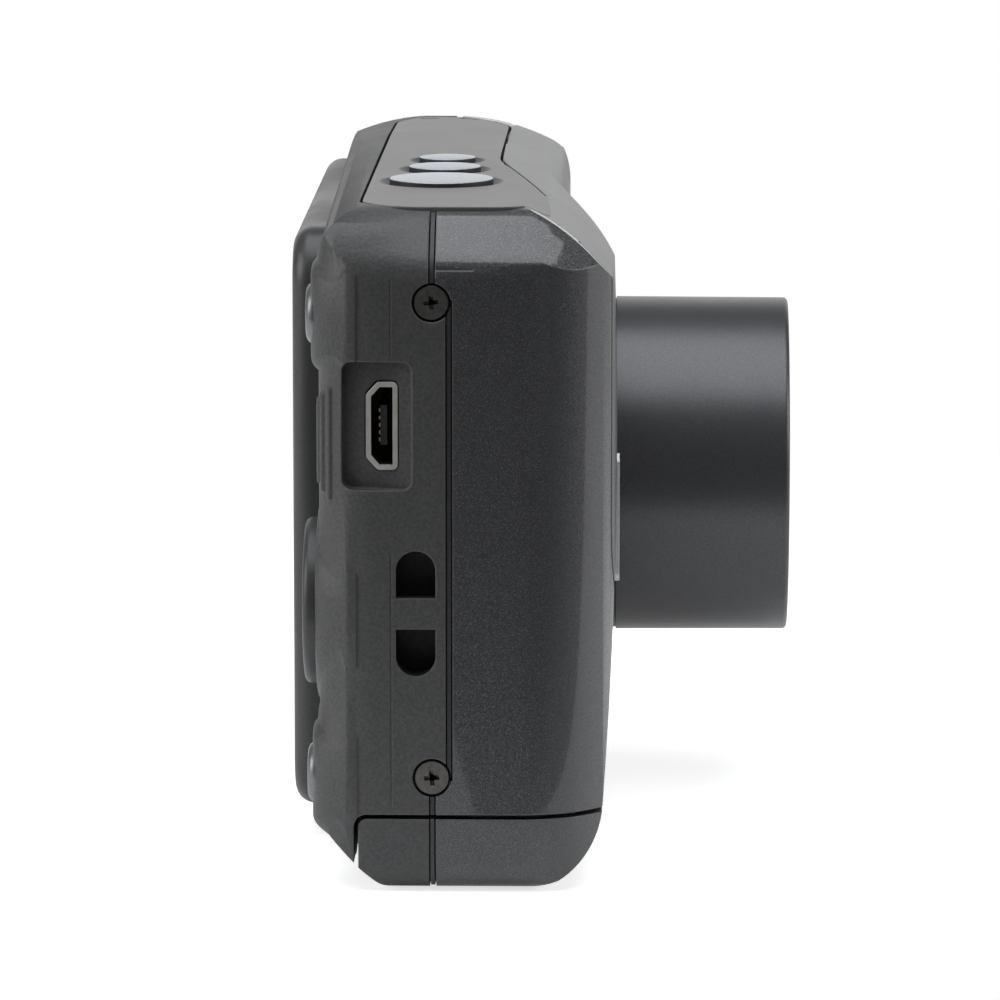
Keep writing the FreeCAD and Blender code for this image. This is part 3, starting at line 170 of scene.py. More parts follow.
def soft_edges(material, radius_mm, highlight_colour=None):
    """Rounded edges, and a paler line of painted highlight along them where a colour is given."""
    tree = material.node_tree
    shader = shader_of(material)
    bevel = wire(tree, "ShaderNodeBevel", Radius=radius_mm * mm)
    bevel.samples = 6
    rounded = bevel.outputs["Normal"]
    bumps = [node for node in tree.nodes if node.type == "BUMP"]
    for node in bumps or [shader]:
        tree.links.new(rounded, node.inputs["Normal"])
    if shader.inputs["Coat Weight"].default_value:
        feed(material, "Coat Normal", rounded)
    if not highlight_colour:
        return
    surface = wire(tree, "ShaderNodeNewGeometry")
    along = vector_maths(tree, "DOT_PRODUCT", rounded, surface.outputs["Normal"])
    edge = wire(tree, "ShaderNodeMapRange", Value=along.outputs["Value"],
                From_Min=highlight_starts, From_Max=highlight_full, To_Max=highlight_share)
    highlighted = tree.nodes.new("ShaderNodeMix")
    highlighted.data_type = "RGBA"
    plain = shader.inputs["Base Color"].links[0].from_socket
    for label, value in (("Factor", edge.outputs["Result"]), ("A", plain), ("B", (*highlight_colour, 1))):
        fill(tree, highlighted.inputs[label], value)
    feed(material, "Base Color", highlighted.outputs["Result"])


def body_of(node):
    return frame["nodes"][node]["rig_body"]


def paint(node, material):
    """Gives a CAD node its finish."""
    slots = frame["nodes"][node].data.materials
    slots.clear()
    slots.append(material)


weld_distance = 0.002 * mm


def moulding(node, material, crease=32):
    """The CAD piece with its faces joined and smoothed between creases, in its finish."""
    mesh = frame["nodes"][node].data.copy()
    if "custom_normal" in mesh.attributes:
        mesh.attributes.remove(mesh.attributes["custom_normal"])
    bm = bmesh.new()
    bm.from_mesh(mesh)
    bmesh.ops.remove_doubles(bm, verts=bm.verts, dist=weld_distance)
    bm.to_mesh(mesh)
    bm.free()
    mesh.shade_smooth()
    mesh.set_sharp_from_angle(angle=math.radians(crease))
    mesh.materials.clear()
    mesh.materials.append(material)
    piece = bpy.data.objects.new(node + "_dressed", mesh)
    bpy.context.scene.collection.objects.link(piece)
    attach(piece, body_of(node))
    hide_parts(node)
    return piece


rear_plastic = principled("grained_dark_plastic", (0.06, 0.06, 0.061), 0.48)
grain(rear_plastic, 0.36, 0.06, 0.8, 3.0)
speckle(rear_plastic, (0.05, 0.05, 0.051), (0.07, 0.07, 0.071), 0.3)
handling(rear_plastic, 0.46, 0.52)
# The paler colour along the shell's edges is a painted highlight.
soft_edges(rear_plastic, 0.28, (0.12, 0.12, 0.122))
rear_case = moulding("rear_shell", rear_plastic, 55)

# Inside the camera: the boards in green solder mask, the sensor, the zoom motor with its gear case,
# the flash capacitor in its sleeve, and the speaker. Only the battery door shows any of it. The
# hollow behind the strap bar is painted in the same black as the inner parts, as painted shade.
board_green = principled("solder_mask", (0.01, 0.09, 0.04), 0.35)
speckle(board_green, (0.008, 0.07, 0.03), (0.015, 0.11, 0.05), 1.2)
grain(board_green, 0.8, 0.01, 0.4)
for node in ("main_board", "top_board", "image_sensor"):
    paint(node, board_green)
steel = principled("plain_steel", (0.5, 0.5, 0.5), 0.32, 1.0)
grain(steel, 0.3, 0.004, 0.4)
speckle(steel, (0.46, 0.46, 0.46), (0.55, 0.55, 0.54), 1.5)
for node in ("zoom_motor", "focus_rods", "bay_contacts", "door_contact", "door_bracket", "door_pin"):
    paint(node, steel)
# This black also serves as painted shade in the strap hollow, the USB shell and the button skirts.
black_and_painted_shade = principled("inner_black_plastic", (0.015, 0.015, 0.016), 0.6)
grain(black_and_painted_shade, 0.25, 0.01, 0.4)
speckle(black_and_painted_shade, (0.012, 0.012, 0.013), (0.019, 0.019, 0.02), 0.5)
for node in ("gearbox", "speaker", "lens_housing", "cam_tube", "focus_carrier", "battery_bay",
             "card_slot", "pad_rocker"):
    paint(node, black_and_painted_shade)
rear_case.data.materials.append(black_and_painted_shade)
# The faces in the hollow behind the strap bar take the black as painted shade.
strap_shade_box = (Vector((-53.05, 2.0, 19.3)) * mm, Vector((-49.0, 6.2, 30.9)) * mm)
for face in rear_case.data.polygons:
    if all(low < at < high for low, at, high in zip(strap_shade_box[0], face.center, strap_shade_box[1])):
        face.material_index = 1
sleeve = principled("shrunk_sleeve", (0.1, 0.1, 0.11), 0.3)
speckle(sleeve, (0.09, 0.09, 0.1), (0.12, 0.12, 0.13), 2.0)
grain(sleeve, 1.5, 0.02, 0.3)
paint("flash_capacitor", sleeve)

# Two AA cells in plain metallic jackets and the memory card, which all go in from below when the
# battery door is open.
cell_skin = principled("cell_jacket", (0.45, 0.46, 0.48), 0.28, 0.9)
grain(cell_skin, 0.6, 0.004, 0.3)
speckle(cell_skin, (0.42, 0.43, 0.45), (0.5, 0.51, 0.53), 3.0)
paint("battery_cells", cell_skin)
card_black = principled("card_plastic", (0.02, 0.02, 0.022), 0.45)
grain(card_black, 0.15, 0.008, 0.5)
speckle(card_black, (0.017, 0.017, 0.019), (0.024, 0.024, 0.026), 0.4)
paint("memory_card", card_black)

# Screen: the panel is black when the camera is off, behind a clear hard-coated window let into the
# bezel, which is moulded smoother than the rear shell and clips onto it.
panel_black = principled("dark_panel", (0.006, 0.006, 0.009), 0.25)
speckle(panel_black, (0.005, 0.005, 0.008), (0.008, 0.008, 0.011), 3.0)
paint("lcd_panel", panel_black)
window = principled("clear_window", (0.02, 0.02, 0.024), 0.04)
shader_of(window).inputs["Coat Weight"].default_value = 1.0
speckle(window, (0.018, 0.018, 0.022), (0.022, 0.022, 0.026), 4.0)
handling(window, 0.03, 0.09, 14.0)
moulding("lcd_window", window)
bezel_plastic = principled("satin_bezel_plastic", (0.045, 0.045, 0.046), 0.4)
grain(bezel_plastic, 0.14, 0.012, 0.5)
speckle(bezel_plastic, (0.04, 0.04, 0.041), (0.05, 0.05, 0.051), 0.2)
handling(bezel_plastic, 0.34, 0.44)
# The paler colour along the bezel's edges is a painted highlight.
soft_edges(bezel_plastic, 0.25, (0.09, 0.09, 0.092))
moulding("lcd_bezel", bezel_plastic, 40)

# Rear controls: four domed press buttons plated dull silver, and the four-way pad, moulded like the
# shell, with its silver centre button.
silver = principled("silver_button", (0.5, 0.53, 0.57), 0.34, 0.5)
grain(silver, 0.12, 0.004, 0.4)
speckle(silver, (0.47, 0.5, 0.54), (0.53, 0.56, 0.6), 0.2)
soft_edges(silver, 0.12)
dull_silver = principled("dull_silver_button", (0.2, 0.205, 0.21), 0.34, 0.7)
grain(dull_silver, 0.12, 0.005, 0.4)
speckle(dull_silver, (0.18, 0.185, 0.19), (0.22, 0.225, 0.23), 0.2)
soft_edges(dull_silver, 0.12)
for node in ("zoom_wide_button", "zoom_tele_button", "playback_button", "delete_button", "set_button"):
    moulding(node, dull_silver, 50)
moulding("control_pad", bezel_plastic, 40)

# USB port: a rolled nickel-plated steel shell, bright at the lips and black inside as painted shade,
# round a black tongue with five contacts, which are stamped from one strip, so they are made as a row.
nickel = principled("nickel_plate", (0.62, 0.6, 0.56), 0.25, 0.5)
grain(nickel, 0.2, 0.004, 0.5)
speckle(nickel, (0.58, 0.56, 0.52), (0.66, 0.64, 0.6), 0.8)
soft_edges(nickel, 0.08)
port_shell = moulding("usb_shell", nickel, 40)
port_shell.data.materials.append(black_and_painted_shade)
port_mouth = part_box("usb_shell")[0][0]
lip_depth = 0.6 * mm
# Faces deeper than the lips take the black as painted shade.
for face in port_shell.data.polygons:
    if face.center.x > port_mouth + lip_depth:
        face.material_index = 1
moulding("usb_tongue", black_and_painted_shade)
gilt = principled("gilt_contact", (0.72, 0.6, 0.36), 0.25, 1.0)
grain(gilt, 0.2, 0.003, 0.4)
speckle(gilt, (0.68, 0.56, 0.32), (0.75, 0.64, 0.4), 0.5)


def new_tree(name, sizes, takes_mesh=False):
    """A Geometry Nodes tree whose sizes are its own named inputs."""
    tree = bpy.data.node_groups.new(name, "GeometryNodeTree")
    if takes_mesh:
        tree.interface.new_socket("Mesh", in_out="INPUT", socket_type="NodeSocketGeometry")
    for label, value in sizes.items():
        kind = "NodeSocketInt" if isinstance(value, int) else "NodeSocketFloat"
        socket = tree.interface.new_socket(label, in_out="INPUT", socket_type=kind)
        socket.default_value = value
    tree.interface.new_socket("Mesh", in_out="OUTPUT", socket_type="NodeSocketGeometry")
    return tree, tree.nodes.new("NodeGroupInput")


def maths(tree, a, b, operation="ADD"):
    node = tree.nodes.new("ShaderNodeMath")
    node.operation = operation
    for socket, value in zip(node.inputs, (a, b)):
        fill(tree, socket, value)
    return node.outputs[0]


def vector_of(tree, x=0.0, y=0.0, z=0.0):
    return wire(tree, "ShaderNodeCombineXYZ", X=x, Y=y, Z=z).outputs[0]


def moved(tree, mesh, place):
    return wire(tree, "GeometryNodeTransform", Geometry=mesh, Translation=place).outputs[0]


def joined(tree, meshes):
    join = tree.nodes.new("GeometryNodeJoinGeometry")
    for mesh in reversed(meshes):
        tree.links.new(mesh, join.inputs[0])
    return join.outputs[0]


def finish_tree(tree, mesh, material):
    """Ends the tree with its mesh made plain and in its finish."""
    real = wire(tree, "GeometryNodeRealizeInstances", Geometry=mesh)
    coat = wire(tree, "GeometryNodeSetMaterial", Geometry=real.outputs[0])
    coat.inputs["Material"].default_value = material
    result = tree.nodes.new("NodeGroupOutput")
    tree.links.new(coat.outputs[0], result.inputs[0])


def piece_from_tree(name, tree, sizes, body, start=None, crease=35):
    """The plain mesh that the tree makes, riding on its body."""
    piece = bpy.data.objects.new(name, start or bpy.data.meshes.new(name))
    bpy.context.scene.collection.objects.link(piece)
    modifier = piece.modifiers.new("made", "NODES")
    modifier.node_group = tree
    for item in tree.interface.items_tree:
        if item.in_out == "INPUT" and item.name in sizes:
            modifier[item.identifier] = sizes[item.name]
    depsgraph = bpy.context.evaluated_depsgraph_get()
    mesh = bpy.data.meshes.new_from_object(piece.evaluated_get(depsgraph))
    piece.modifiers.clear()
    piece.data = mesh
    mesh.shade_smooth()
    mesh.set_sharp_from_angle(angle=math.radians(crease))
    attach(piece, body)
    return piece


strip_low, strip_high = (Vector(corner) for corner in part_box("usb_contacts"))
contact_sizes = {"Count": 5, "Width": 0.32 * mm, "Length": strip_high.x - strip_low.x,
                 "Thickness": strip_high.y - strip_low.y, "Pitch": 0.65 * mm}
contact_tree, given = new_tree("row_of_contacts", contact_sizes)
blank = wire(contact_tree, "GeometryNodeMeshCube", Size=vector_of(
    contact_tree, given.outputs["Length"], given.outputs["Thickness"], given.outputs["Width"]))
row = wire(contact_tree, "GeometryNodeMeshLine", Count=given.outputs["Count"],
           Offset=vector_of(contact_tree, z=given.outputs["Pitch"]))
contacts = wire(contact_tree, "GeometryNodeInstanceOnPoints", Points=row.outputs[0],
                Instance=blank.outputs[0])
first = (strip_low + strip_high) / 2
first.z = strip_low.z + contact_sizes["Width"] / 2
finish_tree(contact_tree, moved(contact_tree, contacts.outputs[0], tuple(first)), gilt)
contact_row = piece_from_tree("usb_contact_row", contact_tree, contact_sizes,
                              body_of("usb_contacts"))
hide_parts("usb_contacts")

# Front shell and the front half of the battery door: charcoal plastic with fine metal flakes under a
# clear gloss coat, sprayed after moulding. A plain dark strip fills the seam to the rear shell.


coat_round = 0.2 * mm


def flakes(material, size_mm, tilt, dark, bright, share):
    """Metal flakes that lie at slightly different angles under the coat."""
    tree = material.node_tree
    cells = wire(tree, "ShaderNodeTexVoronoi", Vector=place_on_object(tree), Scale=1 / (size_mm * mm))
    centred = vector_maths(tree, "SUBTRACT", cells.outputs["Color"], (0.5, 0.5, 0.5))
    leaning = vector_maths(tree, "SCALE", centred.outputs["Vector"])
    leaning.inputs["Scale"].default_value = tilt
    rounded = wire(tree, "ShaderNodeBevel", Radius=coat_round).outputs["Normal"]
    tipped = vector_maths(tree, "ADD", leaning.outputs["Vector"], rounded)
    unit = vector_maths(tree, "NORMALIZE", tipped.outputs["Vector"])
    feed(material, "Normal", unit.outputs["Vector"])
    feed(material, "Coat Normal", rounded)
    parts = wire(tree, "ShaderNodeSeparateColor", Color=cells.outputs["Color"])
    two_shades(material, parts.outputs["Green"], (1 - share, 1), (dark, bright))


flake_gloss = principled("flake_gloss_plastic", (0.05, 0.051, 0.056), 0.42, 0.35)
shader_of(flake_gloss).inputs["Coat Weight"].default_value = 0.75
shader_of(flake_gloss).inputs["Coat Roughness"].default_value = 0.06
flakes(flake_gloss, 0.065, 0.38, (0.045, 0.045, 0.047), (0.105, 0.109, 0.118), 0.35)
moulding("front_shell", flake_gloss)
moulding("battery_door_face", flake_gloss)
strip_plastic = principled("seam_strip_plastic", (0.03, 0.03, 0.031), 0.5)
grain(strip_plastic, 0.2, 0.01, 0.4)
speckle(strip_plastic, (0.026, 0.026, 0.027), (0.035, 0.035, 0.036), 0.3)
moulding("seam_strip", strip_plastic)
moulding("battery_door", rear_plastic)

# Front cover: a thin skin over the front of the shell, sprayed satin grey, with a bright brushed
# bar let into the grip.
cover_paint = principled("satin_grey_paint", (0.11, 0.11, 0.113), 0.34, 0.35)
speckle(cover_paint, (0.105, 0.105, 0.108), (0.128, 0.128, 0.132), 0.12)
grain(cover_paint, 0.12, 0.005, 0.4)
handling(cover_paint, 0.33, 0.35)
soft_edges(cover_paint, 0.3)
moulding("front_cover", cover_paint)
bright = principled("brushed_bright_bar", (0.74, 0.75, 0.77), 0.38, 0.4)
grain(bright, 0.1, 0.004, 0.5, 2.0, (6, 6, 0.4))
speckle(bright, (0.72, 0.73, 0.75), (0.8, 0.81, 0.83), 0.3)
soft_edges(bright, 0.1)
moulding("grip_accent", bright)

# Flash and focus lamp. The flash window is a clear moulding with fine ribs that spread the light,
# over a bright reflector with its tube; the lamp has a small dark red lens.
clear = principled("clear_moulding", (0.9, 0.92, 0.94), 0.06)
shader_of(clear).inputs["Transmission Weight"].default_value = 0.9
grain(clear, 0.5, 0.02, 0.4)
speckle(clear, (0.86, 0.88, 0.9), (0.93, 0.95, 0.97), 2.0)
paint("flash_tube", clear)
moulding("flash_reflector", bright)
pane_low, pane_high = (Vector(corner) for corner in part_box("flash_window"))
pane = pane_high - pane_low
rib_sizes = {"Width": pane.x, "Thickness": pane.y, "Height": pane.z, "Ribs": 12, "Rib depth": 0.14 * mm}
pane_tree, given = new_tree("ribbed_pane", rib_sizes)
steps_per_rib = 8.0
steps = maths(pane_tree, given.outputs["Ribs"], steps_per_rib, "MULTIPLY")
slab = wire(pane_tree, "GeometryNodeMeshCube", Size=vector_of(
    pane_tree, given.outputs["Width"], given.outputs["Thickness"], given.outputs["Height"]),
    Vertices_X=2, Vertices_Y=2, Vertices_Z=maths(pane_tree, steps, 1.0))
position = wire(pane_tree, "GeometryNodeInputPosition")
spot = wire(pane_tree, "ShaderNodeSeparateXYZ", Vector=position.outputs[0])
height_share = maths(pane_tree, spot.outputs["Z"], given.outputs["Height"], "DIVIDE")
half_waves = maths(pane_tree, given.outputs["Ribs"], math.pi, "MULTIPLY")
wave = maths(pane_tree, maths(pane_tree, height_share, half_waves, "MULTIPLY"), 0.0, "COSINE")
hollow = maths(pane_tree, 1.0, maths(pane_tree, wave, 0.0, "ABSOLUTE"), "SUBTRACT")
inward = vector_of(pane_tree, y=maths(pane_tree, hollow, given.outputs["Rib depth"], "MULTIPLY"))
outer_side = maths(pane_tree, spot.outputs["Y"], 0.0, "LESS_THAN")
ribbed = wire(pane_tree, "GeometryNodeSetPosition", Geometry=slab.outputs[0], Selection=outer_side,
              Offset=inward)
finish_tree(pane_tree, moved(pane_tree, ribbed.outputs[0], tuple((pane_low + pane_high) / 2)), clear)
flash_pane = piece_from_tree("flash_pane", pane_tree, rib_sizes, body_of("flash_window"))
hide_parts("flash_window")
lamp_red = principled("lamp_lens", (0.25, 0.05, 0.03), 0.1)
shader_of(lamp_red).inputs["Coat Weight"].default_value = 1.0
grain(lamp_red, 0.4, 0.01, 0.3)
speckle(lamp_red, (0.22, 0.04, 0.025), (0.28, 0.06, 0.035), 0.6)
moulding("focus_lamp", lamp_red)

# Lens: the fixed collar, and two barrels that slide in it, turned from plastic and sprayed with a
# fine satin paint. Behind the front ring two thin blades open to show the coated glass.
barrel_paint = principled("satin_barrel_paint", (0.09, 0.091, 0.095), 0.34, 0.55)
grain(barrel_paint, 0.12, 0.008, 0.5)
speckle(barrel_paint, (0.08, 0.081, 0.085), (0.1, 0.101, 0.106), 0.15)
handling(barrel_paint, 0.33, 0.36)
# The paler colour along the barrels' edges is a painted highlight.
soft_edges(barrel_paint, 0.15, (0.12, 0.12, 0.125))
for node in ("lens_collar", "outer_barrel", "inner_barrel", "front_ring"):
    moulding(node, barrel_paint, 40)
for node in ("blade_upper", "blade_lower"):
    paint(node, black_and_painted_shade)
coated_glass = principled("coated_glass", (0.03, 0.03, 0.05), 0.02)
shader_of(coated_glass).inputs["Coat Weight"].default_value = 1.0
speckle(coated_glass, (0.025, 0.022, 0.05), (0.03, 0.035, 0.06), 6.0)
for node in ("front_lens", "focus_lens"):
    moulding(node, coated_glass, 40)

# Six fine rings turned on the face of the front ring, a little proud of it, which keep stray light
# off the glass.
ring_low, ring_high = (Vector(corner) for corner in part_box("front_ring"))
groove_sizes = {"Rings": 6, "First radius": 8.6 * mm, "Step": 0.75 * mm, "Thickness": 0.16 * mm}
groove_tree, given = new_tree("turned_rings", groove_sizes)
circle = wire(groove_tree, "GeometryNodeCurvePrimitiveCircle", Resolution=96, Radius=1.0)
places = wire(groove_tree, "GeometryNodePoints", Count=given.outputs["Rings"])
ring_number = wire(groove_tree, "GeometryNodeInputIndex").outputs[0]
step_out = maths(groove_tree, ring_number, given.outputs["Step"], "MULTIPLY")
wide = maths(groove_tree, given.outputs["First radius"], step_out)
rings = wire(groove_tree, "GeometryNodeInstanceOnPoints", Points=places.outputs[0],
             Instance=circle.outputs[0], Scale=vector_of(groove_tree, wide, wide, wide))
line = wire(groove_tree, "GeometryNodeRealizeInstances", Geometry=rings.outputs[0])
section = wire(groove_tree, "GeometryNodeCurvePrimitiveCircle", Resolution=8,
               Radius=given.outputs["Thickness"])
wound = wire(groove_tree, "GeometryNodeCurveToMesh", Curve=line.outputs[0],
             Profile_Curve=section.outputs[0])
let_in = 0.05 * mm
ring_place = (0, ring_low.y + let_in, (ring_low.z + ring_high.z) / 2)
upright = wire(groove_tree, "GeometryNodeTransform", Geometry=wound.outputs[0],
               Rotation=(math.pi / 2, 0, 0), Translation=ring_place)
finish_tree(groove_tree, upright.outputs[0], barrel_paint)
piece_from_tree("front_ring_ridges", groove_tree, groove_sizes, body_of("front_ring"))

# Top deck plate, sprayed a warm satin grey with a little flake in it, and its three press buttons,
# slightly domed, with their faces plated bright silver; their skirts are black as painted shade.
deck_paint = principled("warm_grey_satin", (0.16, 0.156, 0.152), 0.4, 0.25)
speckle(deck_paint, (0.125, 0.122, 0.119), (0.155, 0.152, 0.149), 0.14)
grain(deck_paint, 0.14, 0.008, 0.5)
handling(deck_paint, 0.385, 0.405)
# The paler colour along the plate's edges is a painted highlight.
soft_edges(deck_paint, 0.22, (0.22, 0.216, 0.21))
moulding("deck_plate", deck_paint)
cap_steepest = 0.6
for node in ("shutter_button", "power_button", "mode_button"):
    button = moulding(node, silver, 50)
    button.data.materials.append(black_and_painted_shade)
    # Steep faces round each cap take the black as painted shade.
    for face in button.data.polygons:
        if face.normal.z < cap_steepest:
            face.material_index = 1

# Cross-head screws, blackened steel: four in the two ends and two in the bottom, all alike, each
# left turned as the driver left it. The bush for the tripod screw has its thread cut in it.
black_steel = principled("blackened_steel", (0.12, 0.115, 0.11), 0.38, 0.8)
grain(black_steel, 0.15, 0.012, 0.5)
speckle(black_steel, (0.1, 0.096, 0.092), (0.14, 0.134, 0.128), 0.4)
soft_edges(black_steel, 0.06)
screw_sizes = {"Head radius": 1.58, "Head height": 0.8, "Shank radius": 0.75, "Shank length": 3.4,
               "Cross width": 1.35, "Cross arm": 0.42, "Cross depth": 0.55}
screw_tree, given = new_tree("cross_head_screws", screw_sizes, takes_mesh=True)
half_head = maths(screw_tree, given.outputs["Head height"], -0.5, "MULTIPLY")
head = wire(screw_tree, "GeometryNodeMeshCylinder", Vertices=48, Side_Segments=4,
            Radius=given.outputs["Head radius"], Depth=given.outputs["Head height"])
edge_taper = 0.93
turned_down = wire(screw_tree, "GeometryNodeScaleElements", Geometry=head.outputs["Mesh"],
                   Selection=head.outputs["Top"], Scale=edge_taper)
head_mesh = moved(screw_tree, turned_down.outputs[0], vector_of(screw_tree, z=half_head))
driven = wire(screw_tree, "GeometryNodeMeshBoolean", Mesh_1=head_mesh)
twice_deep = maths(screw_tree, given.outputs["Cross depth"], 2.0, "MULTIPLY")
for across, down in (("Cross width", "Cross arm"), ("Cross arm", "Cross width")):
    size = vector_of(screw_tree, given.outputs[across], given.outputs[down], twice_deep)
    arm = wire(screw_tree, "GeometryNodeMeshCube", Size=size)
    screw_tree.links.new(arm.outputs[0], driven.inputs["Mesh 2"])
half_shank = maths(screw_tree, given.outputs["Shank length"], -0.5, "MULTIPLY")
below_head = maths(screw_tree, given.outputs["Shank length"], given.outputs["Head height"], "SUBTRACT")
shank = wire(screw_tree, "GeometryNodeMeshCylinder", Vertices=24, Radius=given.outputs["Shank radius"],
             Depth=below_head)
shank_place = vector_of(screw_tree, z=maths(screw_tree, half_shank, half_head))
shank_mesh = moved(screw_tree, shank.outputs["Mesh"], shank_place)
whole = joined(screw_tree, [driven.outputs[0], shank_mesh])
outward = wire(screw_tree, "GeometryNodeInputNamedAttribute", Name="outward")
outward.data_type = "FLOAT_VECTOR"
driver_turn = wire(screw_tree, "GeometryNodeInputNamedAttribute", Name="driver_turn")
driver_turn.data_type = "FLOAT"
spun = wire(screw_tree, "FunctionNodeAxisAngleToRotation", Axis=(0, 0, 1), Angle=driver_turn.outputs[0])
facing = wire(screw_tree, "FunctionNodeAlignRotationToVector", Rotation=spun.outputs[0],
              Vector=outward.outputs[0])
facing.axis = "Z"
fixed = wire(screw_tree, "GeometryNodeInstanceOnPoints", Points=given.outputs["Mesh"], Instance=whole,
             Rotation=facing.outputs[0], Scale=(mm, mm, mm))
finish_tree(screw_tree, fixed.outputs[0], black_steel)


def screw_points(name, heads):
    """Points for the screws, each with the way it faces and how far it was turned."""
    mesh = bpy.data.meshes.new(name)
    mesh.from_pydata([place for place, way, turn in heads], [], [])
    mesh.attributes.new("outward", "FLOAT_VECTOR", "POINT")
    mesh.attributes.new("driver_turn", "FLOAT", "POINT")
    for i, (place, way, turn) in enumerate(heads):
        mesh.attributes["outward"].data[i].vector = way
        mesh.attributes["driver_turn"].data[i].value = math.radians(turn)
    return mesh


near, far = (Vector(corner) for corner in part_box("side_screws"))
head_r = screw_sizes["Head radius"] * mm
screw_line = 2.54 * mm
side_heads = [((x, screw_line, z), (way, 0, 0), turn)
              for x, way in ((near.x, -1), (far.x, 1))
              for z, turn in ((near.z + head_r, 4), (far.z - head_r, 97))]
side_set = piece_from_tree("end_screws", screw_tree, screw_sizes, body_of("side_screws"),
                           screw_points("end_screw_points", side_heads))
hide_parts("side_screws")
near, far = (Vector(corner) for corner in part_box("bottom_screws"))
bottom_y = (near.y + far.y) / 2
bottom_heads = [((x, bottom_y, near.z), (0, 0, -1), turn)
                for x, turn in ((near.x + head_r, 31), (far.x - head_r, 68))]
bottom_set = piece_from_tree("underside_screws", screw_tree, screw_sizes, body_of("bottom_screws"),
                             screw_points("underside_screw_points", bottom_heads))
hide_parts("bottom_screws")
moulding("tripod_socket", steel)
thread_sizes = {"Radius": 3.02 * mm, "Pitch": 1.27 * mm, "Turns": 4.2, "Crest": 0.3 * mm}
thread_tree, given = new_tree("cut_thread", thread_sizes)
rise = maths(thread_tree, given.outputs["Turns"], given.outputs["Pitch"], "MULTIPLY")
helix = wire(thread_tree, "GeometryNodeCurveSpiral", Resolution=48, Rotations=given.outputs["Turns"],
             Start_Radius=given.outputs["Radius"], End_Radius=given.outputs["Radius"], Height=rise)
crest = wire(thread_tree, "GeometryNodeCurvePrimitiveCircle", Resolution=6, Radius=given.outputs["Crest"])
cut = wire(thread_tree, "GeometryNodeCurveToMesh", Curve=helix.outputs[0], Profile_Curve=crest.outputs[0],
           Fill_Caps=True)
mouth_chamfer = 0.35 * mm
finish_tree(thread_tree, moved(thread_tree, cut.outputs[0], (0, 0, mouth_chamfer)), steel)
piece_from_tree("tripod_thread", thread_tree, thread_sizes, body_of("tripod_socket"), crease=60)

# The studio: a pale table that ends a little way in front of the camera, three soft boxes, white
# paper hung round the far sides, and the room's dark side behind the photographer.
table_front = -0.085
card_front = -0.128
card_edge = 0.003
table_edge = -0.0015
table_side = 2
table_back = 3
table_drop = 0.0001
table_outline = [(table_front, -table_side), (table_front, table_edge), (card_front, card_edge),
                 (card_front, table_side), (table_back, table_side), (table_back, -table_side)]
floor_mesh = bpy.data.meshes.new("table")
floor_mesh.from_pydata([(x, y, -table_drop) for x, y in table_outline], [], [range(len(table_outline))])
table = bpy.data.objects.new("table", floor_mesh)
bpy.context.scene.collection.objects.link(table)
table_white = principled("table_white", (0.85, 0.85, 0.85), 0.6)
table.data.materials.append(table_white)


def mirror_ray(tree, ray):
    """One where the table or the room is seen in a gloss or through a clear piece."""
    return maths(tree, ray.outputs["Is Glossy Ray"], ray.outputs["Is Transmission Ray"], "MAXIMUM")


def mixed(tree, share, first, second):
    """The first shader, or the second by its share."""
    mix = wire(tree, "ShaderNodeMixShader", Fac=share)
    fill(tree, mix.inputs[1], first)
    fill(tree, mix.inputs[2], second)
    return mix.outputs["Shader"]


fade_start = 0.07
fade_end = 0.2
near_glow = 0.68
mirror_share = 0.33
paint_tree = table_white.node_tree
matt = shader_of(table_white).outputs["BSDF"]
reach = vector_maths(paint_tree, "LENGTH", place_on_object(paint_tree))
fade = wire(paint_tree, "ShaderNodeMapRange", Value=reach.outputs["Value"],
            From_Min=fade_start, From_Max=fade_end)
glow = wire(paint_tree, "ShaderNodeEmission", Strength=near_glow)
glowing = paint_tree.nodes.new("ShaderNodeAddShader")
fill(paint_tree, glowing.inputs[0], matt)
fill(paint_tree, glowing.inputs[1], glow.outputs["Emission"])
white = wire(paint_tree, "ShaderNodeEmission", Strength=1.0)
shown = mixed(paint_tree, fade.outputs["Result"], glowing.outputs["Shader"], white.outputs["Emission"])
ray = wire(paint_tree, "ShaderNodeLightPath")
dimmed = maths(paint_tree, mirror_ray(paint_tree, ray), mirror_share, "MULTIPLY")
to_lens = maths(paint_tree, ray.outputs["Is Camera Ray"], dimmed, "MAXIMUM")
surface = paint_tree.nodes["Material Output"].inputs["Surface"]
fill(paint_tree, surface, mixed(paint_tree, to_lens, matt, shown))

world = bpy.data.worlds.new("studio")
bpy.context.scene.world = world
world.use_nodes = True
air = world.node_tree


def air_range(value, start, end):
    spread = wire(air, "ShaderNodeMapRange", Value=value, From_Min=start, From_Max=end)
    return spread.outputs["Result"]


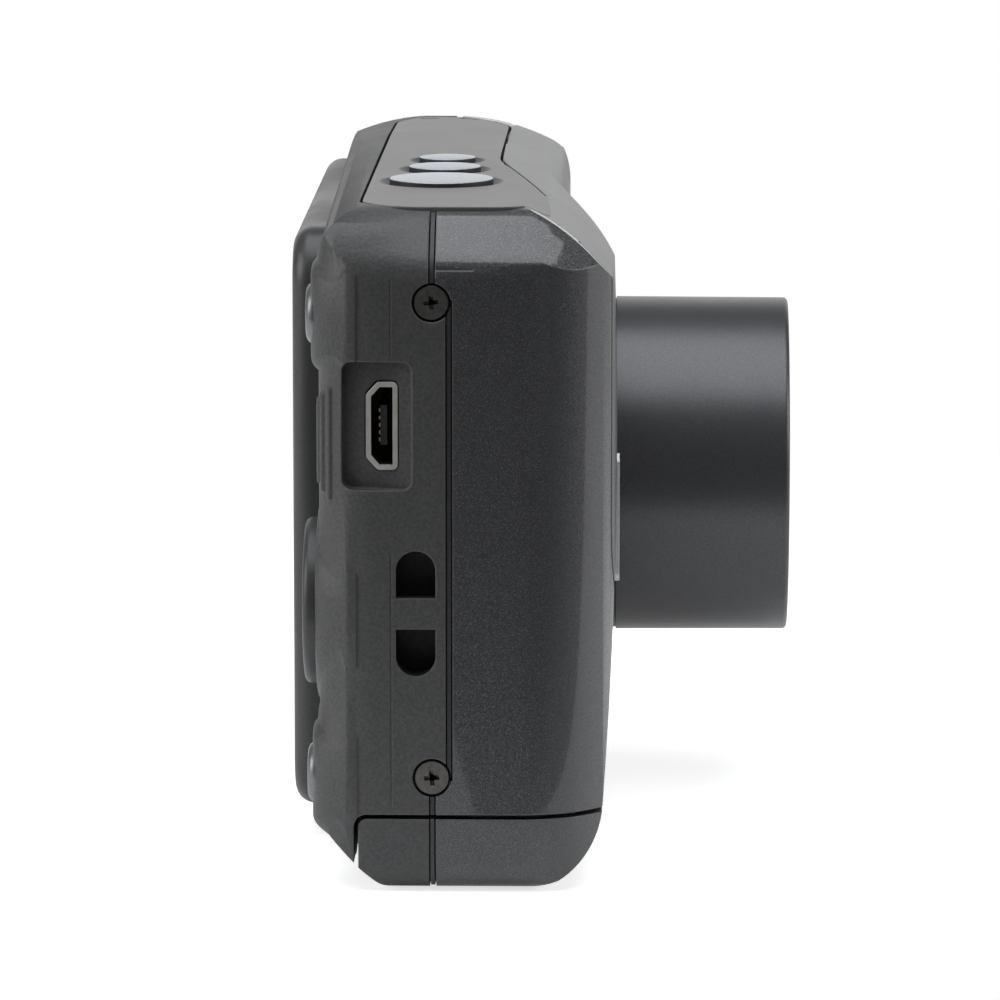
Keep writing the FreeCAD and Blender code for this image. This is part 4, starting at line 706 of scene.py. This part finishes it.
# The white paper fades in toward the far side and out toward the ceiling. Glosses show only its
# farthest part.
paper_light = 0.3
room_light = 0.12
ceiling_range = (0.75, 0.45)
paper_range = (-0.05, 0.5)
far_paper_range = (0.72, 0.96)
direction = wire(air, "ShaderNodeTexCoord")
way = wire(air, "ShaderNodeSeparateXYZ", Vector=direction.outputs["Generated"])
below_ceiling = air_range(way.outputs["Z"], *ceiling_range)
papered = maths(air, air_range(way.outputs["X"], *paper_range), below_ceiling, "MULTIPLY")
far_paper = maths(air, air_range(way.outputs["X"], *far_paper_range), below_ceiling, "MULTIPLY")
ray = wire(air, "ShaderNodeLightPath")
mirrored = mirror_ray(air, ray)
paper = maths(air, ray.outputs["Is Camera Ray"], maths(air, mirrored, far_paper, "MULTIPLY"), "MAXIMUM")
softened = maths(air, papered, maths(air, 1.0, mirrored, "SUBTRACT"), "MULTIPLY")
strength = maths(air, maths(air, softened, paper_light, "MULTIPLY"), room_light)
room = air.nodes["Background"]
fill(air, room.inputs["Color"], (1, 1, 1, 1))
fill(air, room.inputs["Strength"], strength)
backdrop = wire(air, "ShaderNodeBackground", Color=(1, 1, 1, 1))
seen = mixed(air, paper, room.outputs["Background"], backdrop.outputs["Background"])
fill(air, air.nodes["World Output"].inputs["Surface"], seen)


def soft_box(name, place, aim, size, watts, colour=(1, 1, 1)):
    lamp = bpy.data.lights.new(name, "AREA")
    lamp.shape = "RECTANGLE"
    lamp.size, lamp.size_y = size
    lamp.energy = watts
    lamp.color = colour
    holder = bpy.data.objects.new(name, lamp)
    holder.location = place
    holder.rotation_euler = (Vector(aim) - Vector(place)).to_track_quat("-Z", "Y").to_euler()
    bpy.context.scene.collection.objects.link(holder)


soft_box("overhead", (-0.1, 0.05, 0.8), (0, 0.02, 0.03), (0.9, 0.8), 6, (0.94, 0.97, 1))
soft_box("front_side", (-0.1, -0.8, 0.35), (0, 0, 0.03), (0.5, 0.5), 2.6)
soft_box("rear_side", (-0.2, 0.8, 0.35), (0, 0, 0.03), (0.5, 0.5), 3)

# The view: a long lens off the grip's end, aimed nine degrees down.
camera = bpy.data.cameras.new("photo_camera")
camera.sensor_width = 36
camera.lens = 234.95
camera.clip_start = 0.01
camera.clip_end = 20
tripod = bpy.data.objects.new("photo_camera", camera)
pitch = math.radians(9.06)
yaw = math.radians(1.32)
aim = Vector((math.cos(pitch) * math.cos(yaw), math.cos(pitch) * math.sin(yaw), -math.sin(pitch)))
tripod.location = (-0.62019, -0.01656, 0.1257)
tripod.rotation_euler = aim.to_track_quat("-Z", "Y").to_euler()
bpy.context.scene.collection.objects.link(tripod)
bpy.context.scene.camera = tripod
bpy.context.scene.view_settings.view_transform = "Standard"
